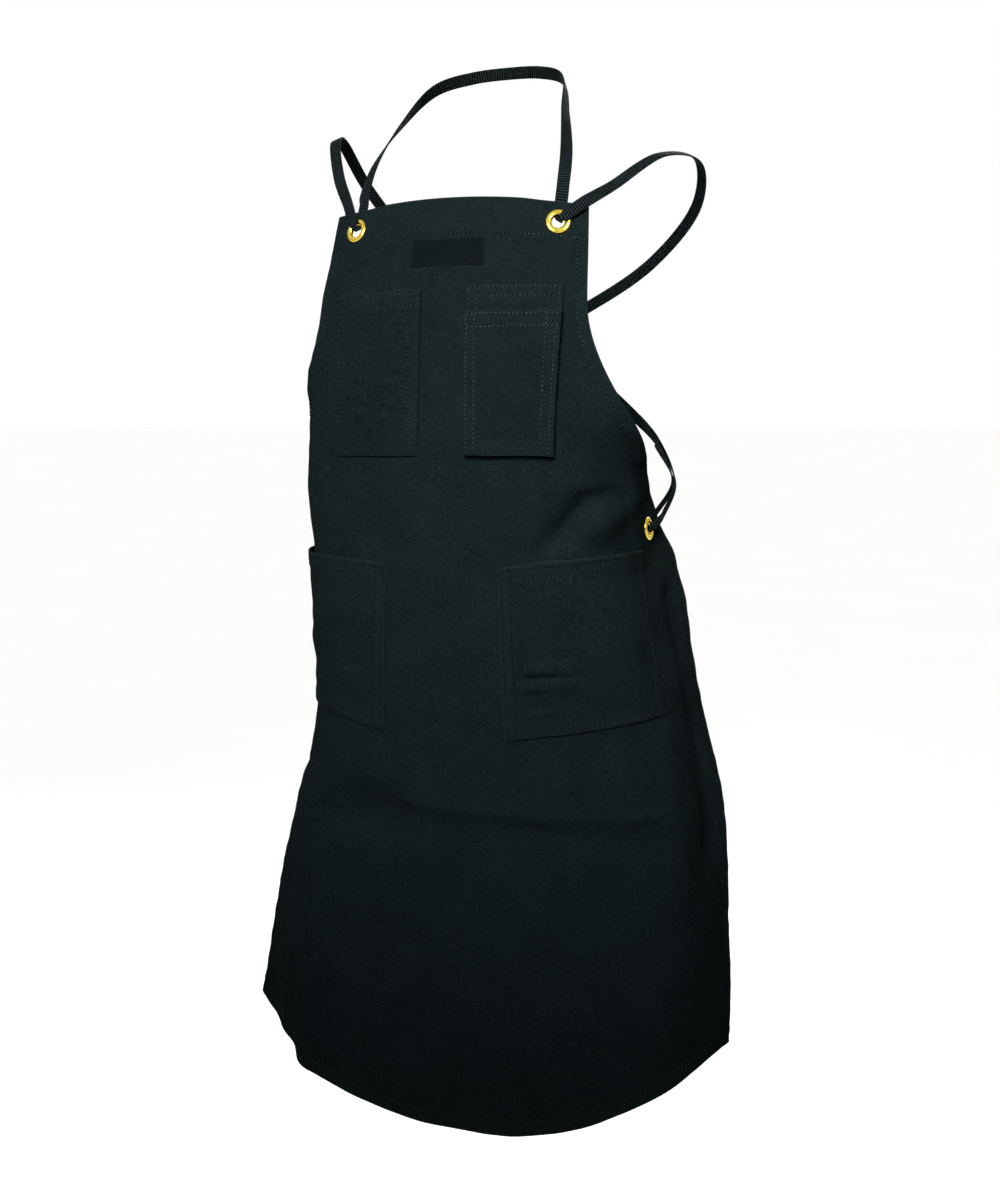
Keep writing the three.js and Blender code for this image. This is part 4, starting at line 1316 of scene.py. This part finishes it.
class Webbing:
    """The one length of webbing, from its end at the right side eyelet round to the left one."""

    def __init__(self, cloth, eyelet, webbing):
        self.cloth = cloth
        self.eyelet = eyelet
        self.size = webbing

    def thread(self, spot, way, rim, side):
        """Stations from a place on the cloth into an eyelet's hole, on the outside (1) or inside (-1)."""
        proud = self.eyelet.dome if side > 0 else self.eyelet.washer
        clear = self.cloth.thickness / 2 + EYELET_GAP + proud + STRAP_GAP + self.size.thickness / 2
        stations = []
        for step in HOLE_PATH:
            heading = flat_unit(rim + (way - rim) * step.over)
            aside, above = step.reach * heading
            here = self.cloth.frame(spot.across + aside, spot.drop - above)
            outward = here.along * rim[0] - here.down * rim[1]
            at = here.point + here.face * side * step.height * clear
            face = unit(here.face * side * step.over + outward * (step.over - 1))
            wide = self.size.narrow + (self.size.width - self.size.narrow) * step.open
            stations.append(Station(at, face, wide))
        return stations

    def route(self, row, mirror=1):
        face = unit(np.array([mirror * row.face_x, row.face_y, row.face_z]))
        return Station(np.array([mirror * row.x, row.y, row.z]), face, self.size.width)

    def edge(self, spot, way, height):
        """Where the webbing passes the cloth's edge, above it or below it."""
        here = self.cloth.frame(spot.across + EDGE_REACH * way[0], spot.drop - EDGE_REACH * way[1])
        return Station(here.point + here.face * height, here.face * np.sign(height), self.size.width)

    def back(self, bib, shoulder, neck, rows, side, way):
        """From a bib eyelet over the shoulder to the far side eyelet, through it and back under itself."""
        shoulder, neck, way = flat_unit(shoulder), flat_unit(neck), flat_unit(way)
        start = self.thread(bib, shoulder, flat_unit(neck + shoulder), 1)[::-1]
        entry = self.bunched(self.thread(side, way, way, 1))
        turn = self.bunched(self.thread(side, way, way, -1)[::-1][1:])
        middle = [self.route(row) for row in rows]
        middle[-1:] = self.bunched(middle[-1:])
        sunk = self.size.thickness + STRAP_GAP
        tail = [Station(s.at - s.face * sunk, -s.face, s.wide) for s in middle[::-1][:TAIL_ROWS]]
        above, below = self.bunched([self.edge(side, way, height) for height in (EDGE_OUTER, EDGE_INNER)])
        return [*start, *middle, above, *entry, *turn, below, *tail]

    def bunched(self, stations):
        """The same stations, drawn together as the webbing is beside a side eyelet."""
        return [station._replace(wide=min(station.wide, self.size.side)) for station in stations]

    def neck(self):
        """From the left bib eyelet round the neck to the right one."""
        left_rim = flat_unit(flat_unit(NECK_WAY) + flat_unit(SHOULDER_LEFT))
        right_rim = flat_unit(flat_unit(NECK_WAY) + flat_unit(SHOULDER_RIGHT))
        left = self.thread(EYELETS[0], flat_unit(NECK_WAY), left_rim, -1)[::-1]
        right = self.thread(EYELETS[1], flat_unit(NECK_WAY), right_rim, -1)
        up = [self.route(row) for row in NECK_ROUTE]
        down = [self.route(row, -1) for row in NECK_ROUTE[::-1]]
        return [*left, *up, self.route(NAPE), *down, *right]

    def stations(self):
        left = self.back(EYELETS[0], SHOULDER_LEFT, NECK_WAY, LEFT_ROUTE, EYELETS[3], SIDE_RIGHT)
        right = self.back(EYELETS[1], SHOULDER_RIGHT, NECK_WAY, RIGHT_ROUTE, EYELETS[2], SIDE_LEFT)
        return [*left[::-1], *self.neck(), *right]


def spline(points, place):
    """A centripetal curve through points, read at fractional places, and its direction."""
    row = np.clip(np.floor(place).astype(int), 0, len(points) - 2)
    part = place - row
    p1, p2 = points[row], points[row + 1]
    p0 = np.where((row > 0)[:, None], points[np.maximum(row - 1, 0)], 2 * p1 - p2)
    p3 = np.where((row < len(points) - 2)[:, None], points[np.minimum(row + 2, len(points) - 1)], 2 * p2 - p1)
    gaps = [np.sqrt(np.linalg.norm(b - a, axis=1)) for a, b in ((p0, p1), (p1, p2), (p2, p3))]
    d0, d1, d2 = (np.maximum(g, SHORTEST_SPAN)[:, None] for g in gaps)
    leave = ((p1 - p0) / d0 - (p2 - p0) / (d0 + d1) + (p2 - p1) / d1) * d1
    arrive = ((p2 - p1) / d1 - (p3 - p1) / (d1 + d2) + (p3 - p2) / d2) * d1
    t = part[:, None]
    c2 = -3 * p1 + 3 * p2 - 2 * leave - arrive
    c3 = 2 * p1 - 2 * p2 + leave + arrive
    return p1 + leave * t + c2 * t**2 + c3 * t**3, unit(leave + 2 * c2 * t + 3 * c3 * t**2)


class APRON_OT_webbing(Operator):
    """The ribbed webbing: one length through all four eyelets."""

    bl_idname = "apron.webbing"
    bl_label = "Webbing"

    def execute(self, context):
        size = context.scene.apron_webbing
        cloth = Cloth(context.scene.apron_cut)
        stations = Webbing(cloth, context.scene.apron_eyelet, size).stations()
        points = np.array([s.at for s in stations])
        dense = np.linspace(0, len(points) - 1, SAMPLES_PER_SPAN * (len(points) - 1) + 1)
        walked = np.linalg.norm(np.diff(spline(points, dense)[0], axis=0), axis=1)
        walked = np.concatenate([[0], np.cumsum(walked)])
        ribs = int(walked[-1] / size.rib)
        run = np.linspace(0, walked[-1], ribs * SAMPLES_PER_RIB + 1)
        place = np.interp(run, walked, dense)
        at, along = spline(points, place)
        row = np.clip(np.floor(place).astype(int), 0, len(points) - 2)
        part = (place - row)[:, None]
        faces = np.array([s.face for s in stations])
        face = faces[row] * (1 - part) + faces[row + 1] * part
        face = unit(face - along * np.sum(face * along, axis=1, keepdims=True))
        wide = np.interp(place, np.arange(len(points)), [s.wide for s in stations])
        mesh = self.ribbon(size, run, at, along, face, wide)
        obj = new_piece("webbing", mesh)
        finish_piece(obj, webbing_material(context), angle=WEBBING_ANGLE)
        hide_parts("neck_strap", "back_strap_left", "back_strap_right")
        return {"FINISHED"}

    def ribbon(self, size, run, at, along, face, wide):
        upper = list(SECTION) + [(-w, t) for w, t in SECTION[-2::-1]]
        loop = np.array(upper + [(w, -t) for w, t in upper[-2:0:-1]])
        swell = np.abs(np.sin(math.pi * run / size.rib)) ** RIB_POWER
        thick = size.thickness / 2 - size.groove / 2 * (1 - swell)
        half = wide / 2 - RIB_EDGE * (1 - swell)
        across = np.cross(along, face)
        places = (
            at[:, None, :]
            + across[:, None, :] * (half[:, None] * loop[None, :, 0])[..., None]
            + face[:, None, :] * (thick[:, None] * loop[None, :, 1])[..., None]
        )
        rows, sides = places.shape[:2]
        index = np.arange(rows * sides).reshape(rows, sides)
        following = np.roll(index, -1, axis=1)
        quads = np.stack([index[:-1], following[:-1], following[1:], index[1:]], axis=-1).reshape(-1, 4)
        faces = quads[:, ::-1].tolist() + [index[0].tolist(), index[-1][::-1].tolist()]
        mesh = bpy.data.meshes.new("webbing")
        mesh.from_pydata(places.reshape(-1, 3).tolist(), [], faces)
        over = loop[None, :, 0] * wide[:, None] / 2
        write_uv(mesh, np.stack([np.repeat(run, sides), over.ravel()], axis=-1))
        wear = np.abs(loop[None, :, 0]) ** WEAR_POWER * np.ones((rows, 1))
        write_wear_and_light(mesh, wear.ravel())
        return mesh


def painted(name):
    """Turns a function that paints a Principled shader into one that makes the named material once."""
    def wrap(paint):
        @wraps(paint)
        def make(context):
            made = bpy.data.materials.get(name)
            if made is None:
                made = bpy.data.materials.new(name)
                made.use_nodes = True
                paint(context.scene, made.node_tree, made.node_tree.nodes["Principled BSDF"])
            return made
        return make
    return wrap


def plug(tree, node, values):
    """Gives a node's inputs what they take: each is a value or a socket."""
    for key, value in values.items():
        if hasattr(value, "is_linked"):
            tree.links.new(value, node.inputs[key])
        else:
            node.inputs[key].default_value = value


def add_node(tree, kind, values=None, **settings):
    """Adds a node with its settings and inputs."""
    node = tree.nodes.new(kind)
    for key, value in settings.items():
        setattr(node, key, value)
    plug(tree, node, values or {})
    return node


def noise(tree, source, scale, detail=3.0, rough=0.55):
    """Noise over the source's places, stretched by a scale for each way."""
    places = add_node(tree, "ShaderNodeMapping", {"Vector": source, "Scale": scale}).outputs["Vector"]
    inputs = {"Vector": places, "Scale": 1.0, "Detail": detail, "Roughness": rough}
    return add_node(tree, "ShaderNodeTexNoise", inputs).outputs["Fac"]


def bands(tree, source, direction, values):
    inputs = {"Vector": source, **values}
    settings = {"wave_type": "BANDS", "bands_direction": direction}
    return add_node(tree, "ShaderNodeTexWave", inputs, **settings).outputs["Fac"]


def math_node(tree, operation, first, second):
    return add_node(tree, "ShaderNodeMath", {0: first, 1: second}, operation=operation).outputs[0]


def weighted(tree, *parts):
    """The sum of sockets, each with its weight."""
    terms = [math_node(tree, "MULTIPLY", socket, weight) for socket, weight in parts]
    return reduce(partial(math_node, tree, "ADD"), terms)


def spread(tree, value, low, high, to_low=0.0, to_high=1.0):
    """Maps a value from one range to another."""
    inputs = {"Value": value, "From Min": low, "From Max": high, "To Min": to_low, "To Max": to_high}
    return add_node(tree, "ShaderNodeMapRange", inputs).outputs["Result"]


def blend(tree, share, first, second):
    """Mixes two colours."""
    inputs = {"Factor": share, 6: first, 7: second}
    return add_node(tree, "ShaderNodeMix", inputs, data_type="RGBA").outputs[2]


def bump(tree, height, strength, distance):
    inputs = {"Height": height, "Strength": strength, "Distance": distance}
    return add_node(tree, "ShaderNodeBump", inputs).outputs["Normal"]


def cut_places(tree):
    """Places on the flat cut of a piece."""
    return add_node(tree, "ShaderNodeUVMap", uv_map="Cut").outputs["UV"]


def object_places(tree):
    return add_node(tree, "ShaderNodeTexCoord").outputs["Object"]


def wear_and_light_share(tree):
    """The share in the piece's wear attribute: wear on the cloth and the label, painted light on the thread.
    """
    return add_node(tree, "ShaderNodeAttribute", attribute_name="wear").outputs["Fac"]


def scaled(colour, factor):
    """A colour made darker or lighter."""
    return (*(min(1.0, factor * part) for part in colour[:3]), 1)


@painted("black_cotton_twill")
def cotton_material(scene, tree, shader):
    """Heavy twill: diagonal ribs, uneven threads, mottled dye and rubbed edges."""
    cut = scene.apron_cut
    flat = cut_places(tree)
    ribs = {"Scale": 640.0, "Distortion": 1.6, "Detail": 2.0, "Detail Scale": 1.2}
    twill = bands(tree, flat, "DIAGONAL", ribs)
    warp = noise(tree, flat, (1500.0, 150.0, 1.0))
    weft = noise(tree, flat, (130.0, 1300.0, 1.0))
    mottle = noise(tree, flat, (26.0, 20.0, 1.0), detail=5.0)
    slub = noise(tree, flat, (260.0, 420.0, 1.0), detail=2.0, rough=0.7)
    threads = weighted(tree, (warp, 0.45), (weft, 0.35))
    shade = weighted(tree, (threads, 1.0), (mottle, 0.16), (slub, 0.40), (twill, 0.16))
    colour = blend(tree, spread(tree, shade, 0.60, 0.92), cut.dye, cut.fibre)
    worn = math_node(tree, "MULTIPLY", wear_and_light_share(tree), spread(tree, warp, 0.35, 0.75, 0.1, 0.75))
    plug(tree, shader, {
        "Base Color": blend(tree, worn, colour, cut.rubbed),
        "Roughness": spread(tree, threads, 0.25, 0.65, 0.98, 0.80),
        "Specular IOR Level": 0.0,
        "Sheen Weight": 0.02,
        "Sheen Roughness": 0.55,
        "Sheen Tint": (0.55, 0.72, 0.72, 1),
        "Normal": bump(tree, weighted(tree, (twill, 0.6), (threads, 1.0)), 0.45, 0.00022),
    })


@painted("label_satin")
def label_material(scene, tree, shader):
    """Fine satin weave of the label."""
    colour = scene.apron_sewing.label_colour
    flat = cut_places(tree)
    weft = noise(tree, flat, (300.0, 2600.0, 1.0), detail=2.0)
    warp = noise(tree, flat, (2600.0, 300.0, 1.0), detail=2.0)
    shade = weighted(tree, (weft, 0.7), (warp, 0.3))
    woven = blend(tree, spread(tree, shade, 0.35, 0.7), colour, scaled(colour, 2.1))
    selvage = math_node(tree, "MULTIPLY", wear_and_light_share(tree), 0.5)
    plug(tree, shader, {
        "Base Color": blend(tree, selvage, woven, (0.035, 0.048, 0.047, 1)),
        "Roughness": spread(tree, weft, 0.3, 0.7, 0.75, 0.5),
        "Specular IOR Level": 0.004,
        "Normal": bump(tree, shade, 0.4, 0.00012),
    })


@painted("topstitch_thread")
def thread_material(scene, tree, shader):
    """Spun thread of the topstitching, painted from near black, as shaded, to its spun colour, as lit, by
    each row's painted light.
    """
    colour = scene.apron_sewing.thread_colour
    place = object_places(tree)
    tone = noise(tree, place, (90.0, 90.0, 90.0))
    ply = noise(tree, place, (2600.0, 2600.0, 2600.0), detail=1.0)
    shade = weighted(tree, (tone, 0.7), (ply, 0.4))
    spun = blend(tree, spread(tree, shade, 0.35, 0.75), scaled(colour, 0.55), colour)
    # Near black is painted shade, and the spun colour is the painted lit thread.
    plug(tree, shader, {
        "Base Color": blend(tree, wear_and_light_share(tree), scaled(colour, 0.035), spun),
        "Roughness": spread(tree, ply, 0.3, 0.7, 0.8, 0.6),
        "Specular IOR Level": 0.04,
        "Normal": bump(tree, ply, 0.4, 0.0001),
    })


@painted("needle_hole")
def hole_shadow_material(scene, tree, shader):
    """Painted shadow inside a needle hole: near black, with a faint random change of tone."""
    tone = noise(tree, object_places(tree), (900.0, 900.0, 900.0), detail=1.0)
    plug(tree, shader, {
        "Base Color": blend(tree, tone, (0.0015, 0.0022, 0.0024, 1), (0.006, 0.009, 0.009, 1)),
        "Roughness": 1.0,
        "Specular IOR Level": 0.0,
    })


@painted("ribbed_webbing")
def webbing_material(scene, tree, shader):
    """Ribbed webbing: painted shade in the grooves and painted highlight on the ribs, in step with the mesh's
    ribs, over uneven yarn.
    """
    size = scene.apron_webbing
    flat = cut_places(tree)
    yarn = noise(tree, flat, (420.0, 2600.0, 1.0), detail=2.0)
    tone = noise(tree, flat, (30.0, 60.0, 1.0))
    groove = bands(tree, flat, "X", {"Scale": math.pi / 10 / size.rib})
    shade = weighted(tree, (groove, 0.6), (yarn, 0.35), (tone, 0.25))
    # Painted shade and highlight: the grooves are painted near black and the ribs painted bright.
    dark, light = scaled(size.yarn, 0.08), scaled(size.yarn, 2.9)
    plug(tree, shader, {
        "Base Color": blend(tree, spread(tree, shade, 0.42, 0.98), dark, light),
        "Roughness": spread(tree, yarn, 0.3, 0.7, 0.72, 0.5),
        "Specular IOR Level": 0.012,
        "Normal": bump(tree, yarn, 0.35, 0.00015),
    })


@painted("polished_brass")
def brass_material(scene, tree, shader):
    """Polished brass with faint rubbing marks."""
    colour = scene.apron_eyelet.brass
    place = object_places(tree)
    cloud = noise(tree, place, (160.0, 160.0, 160.0), detail=4.0)
    scuff = noise(tree, place, (900.0, 2400.0, 1500.0), detail=2.0)
    plug(tree, shader, {
        "Base Color": blend(tree, spread(tree, cloud, 0.35, 0.7), colour, scaled(colour, 0.72)),
        "Metallic": 1.0,
        "Roughness": spread(tree, scuff, 0.3, 0.75, 0.10, 0.22),
        "Normal": bump(tree, scuff, 0.06, 0.00008),
    })


@painted("pale_floor")
def floor_material(scene, tree, shader):
    """Plain pale floor with a faint change of tone."""
    colour = scene.apron_stage.floor_colour
    tone = noise(tree, object_places(tree), (1.5, 1.5, 1.5), detail=2.0)
    plug(tree, shader, {
        "Base Color": blend(tree, tone, colour, scaled(colour, 1.03)),
        "Roughness": 0.9,
        "Specular IOR Level": 0.1,
    })


# Lamps: the setting that holds the power, the place, what it is aimed at, the size and the spread.
Lamp = namedtuple("Lamp", "name power place target wide tall spread")
GLINT_AT = (0.10, -0.14, -0.165)
LAMPS = (
    Lamp("key_light", "key", (0.142, -1.158, 0.286), (0.06, -0.15, -0.31), 0.8, 0.8, 50),
    Lamp("fill_light", "fill", (-1.6, -1.6, 0.6), (0.0, -0.1, -0.40), 1.4, 1.6, 110),
    Lamp("glint_left", "glint", (-0.11, -1.55, 0.31), GLINT_AT, 0.65, 0.65, 180),
    Lamp("glint_right", "glint", (1.05, -1.11, 0.47), GLINT_AT, 0.65, 0.65, 180),
    Lamp("rear_light", "rear", (0.0, 2.0, 0.7), (0.0, 0.0, -0.35), 1.5, 1.5, 140),
    Lamp("side_light", "side", (-1.25, 1.7, 0.3), (-0.2, 0.0, -0.45), 1.0, 1.2, 140),
)
FLOOR_SIDES = 96
FLOOR_RADIUS = 60.0
SUN_HEIGHT = 3
SUN_ANGLE = 100
ROOM_LOW = -0.25
ROOM_HIGH = 0.55
ROOM_FLOOR = 0.18
SENSOR_WIDTH = 36.0
CLIP_START = 0.05


class APRON_OT_stage(Operator):
    """Pale floor, soft studio light and the camera."""

    bl_idname = "apron.stage"
    bl_label = "Stage"

    def execute(self, context):
        stage = context.scene.apron_stage
        floor = self.floor(context, stage)
        self.world(context, stage)
        for lamp in LAMPS:
            self.lamp(lamp, getattr(stage, lamp.power))
        self.floor_light(context, stage, floor)
        self.camera(context, stage)
        context.scene.view_settings.view_transform = "Standard"
        return {"FINISHED"}

    def floor(self, context, stage):
        deselect()
        bpy.ops.mesh.primitive_circle_add(
            vertices=FLOOR_SIDES, radius=FLOOR_RADIUS, fill_type="NGON", location=(0, 0, -stage.floor_drop)
        )
        floor = context.object
        floor.name = "floor"
        bpy.ops.object.transform_apply(location=True, rotation=True, scale=True)
        floor.data.materials.append(floor_material(context))
        floor.visible_diffuse = False
        return floor

    def world(self, context, stage):
        """A pale room: bright where the camera sees it, dimmer as a light."""
        world = bpy.data.worlds.new("pale_room")
        context.scene.world = world
        world.use_nodes = True
        tree = world.node_tree
        rays = add_node(tree, "ShaderNodeLightPath").outputs
        way = add_node(tree, "ShaderNodeTexCoord").outputs["Generated"]
        height = add_node(tree, "ShaderNodeSeparateXYZ", {"Vector": way}).outputs["Z"]
        above = spread(tree, height, ROOM_LOW, ROOM_HIGH, ROOM_FLOOR * stage.reflected, stage.reflected)
        mirrored = math_node(tree, "MULTIPLY", rays["Is Glossy Ray"], above)
        lit = math_node(tree, "MAXIMUM", mirrored, stage.room)
        seen = math_node(tree, "MAXIMUM", lit, rays["Is Camera Ray"])
        plug(tree, tree.nodes["Background"], {"Color": (1.0, 1.0, 1.0, 1), "Strength": seen})

    def floor_light(self, context, stage, floor):
        """An even soft light for the floor alone, so that it stays pale and the cloth isn't lit by it."""
        deselect()
        bpy.ops.object.light_add(type="SUN", location=(0, 0, SUN_HEIGHT))
        sun = context.object
        sun.name = "floor_light"
        sun.data.energy = stage.floor_light
        sun.data.angle = math.radians(SUN_ANGLE)
        lit = bpy.data.collections.new("floor_light_receivers")
        lit.objects.link(floor)
        sun.light_linking.receiver_collection = lit

    def lamp(self, row, power):
        """A soft light. The key light isn't mirrored, and the glint lights are in the brass alone."""
        deselect()
        aim = (Vector(row.target) - Vector(row.place)).to_track_quat("-Z", "Y").to_euler()
        bpy.ops.object.light_add(type="AREA", location=row.place, rotation=aim)
        lamp = bpy.context.object
        lamp.name = row.name
        lamp.data.shape = "RECTANGLE"
        lamp.data.size = row.wide
        lamp.data.size_y = row.tall
        lamp.data.energy = power
        lamp.data.spread = math.radians(row.spread)
        lamp.visible_camera = False
        lamp.visible_glossy = row.power != "key"
        lamp.visible_diffuse = row.power != "glint"

    def camera(self, context, stage):
        deselect()
        bpy.ops.object.camera_add(location=stage.eye)
        camera = context.object
        camera.name = "camera"
        turn, tilt = stage.azimuth, stage.elevation
        back = Vector((math.sin(turn) * math.cos(tilt), -math.cos(turn) * math.cos(tilt), math.sin(tilt)))
        right = Vector((math.cos(turn), math.sin(turn), 0))
        up = back.cross(right)
        camera.rotation_mode = "QUATERNION"
        camera.rotation_quaternion = Matrix((right, up, back)).transposed().to_quaternion()
        camera.data.sensor_fit = "AUTO"
        camera.data.sensor_width = SENSOR_WIDTH
        camera.data.lens = stage.lens
        camera.data.clip_start = CLIP_START
        context.scene.camera = camera


class APRON_PT_panel(Panel):
    """Builds the apron piece by piece."""

    bl_idname = "APRON_PT_panel"
    bl_label = "Bib apron"
    bl_space_type = "VIEW_3D"
    bl_region_type = "UI"
    bl_category = "Apron"

    def draw(self, context):
        for group in SETTINGS:
            box = self.layout.box()
            settings = getattr(context.scene, group)
            for name in settings.bl_rna.properties.keys():
                if name not in ("rna_type", "name"):
                    box.prop(settings, name)
        for operator in OPERATORS:
            self.layout.operator(operator.bl_idname)


SETTINGS = {
    "apron_cut": CutSettings,
    "apron_sewing": SewingSettings,
    "apron_eyelet": EyeletSettings,
    "apron_webbing": WebbingSettings,
    "apron_stage": StageSettings,
}
OPERATORS = (
    APRON_OT_stage,
    APRON_OT_cloth,
    APRON_OT_pockets,
    APRON_OT_label,
    APRON_OT_eyelets,
    APRON_OT_webbing,
    APRON_OT_stitching,
)


def register():
    for group in SETTINGS.values():
        bpy.utils.register_class(group)
    for name, group in SETTINGS.items():
        setattr(bpy.types.Scene, name, PointerProperty(type=group))
    for operator in OPERATORS:
        bpy.utils.register_class(operator)
    bpy.utils.register_class(APRON_PT_panel)


def unregister():
    bpy.utils.unregister_class(APRON_PT_panel)
    for operator in reversed(OPERATORS):
        bpy.utils.unregister_class(operator)
    for name in SETTINGS:
        delattr(bpy.types.Scene, name)
    for group in reversed(SETTINGS.values()):
        bpy.utils.unregister_class(group)


def main():
    register()
    bpy.ops.apron.stage()
    bpy.ops.apron.cloth()
    bpy.ops.apron.pockets()
    bpy.ops.apron.label()
    bpy.ops.apron.eyelets()
    bpy.ops.apron.webbing()
    bpy.ops.apron.stitching()


if __name__ == "__main__":
    main()
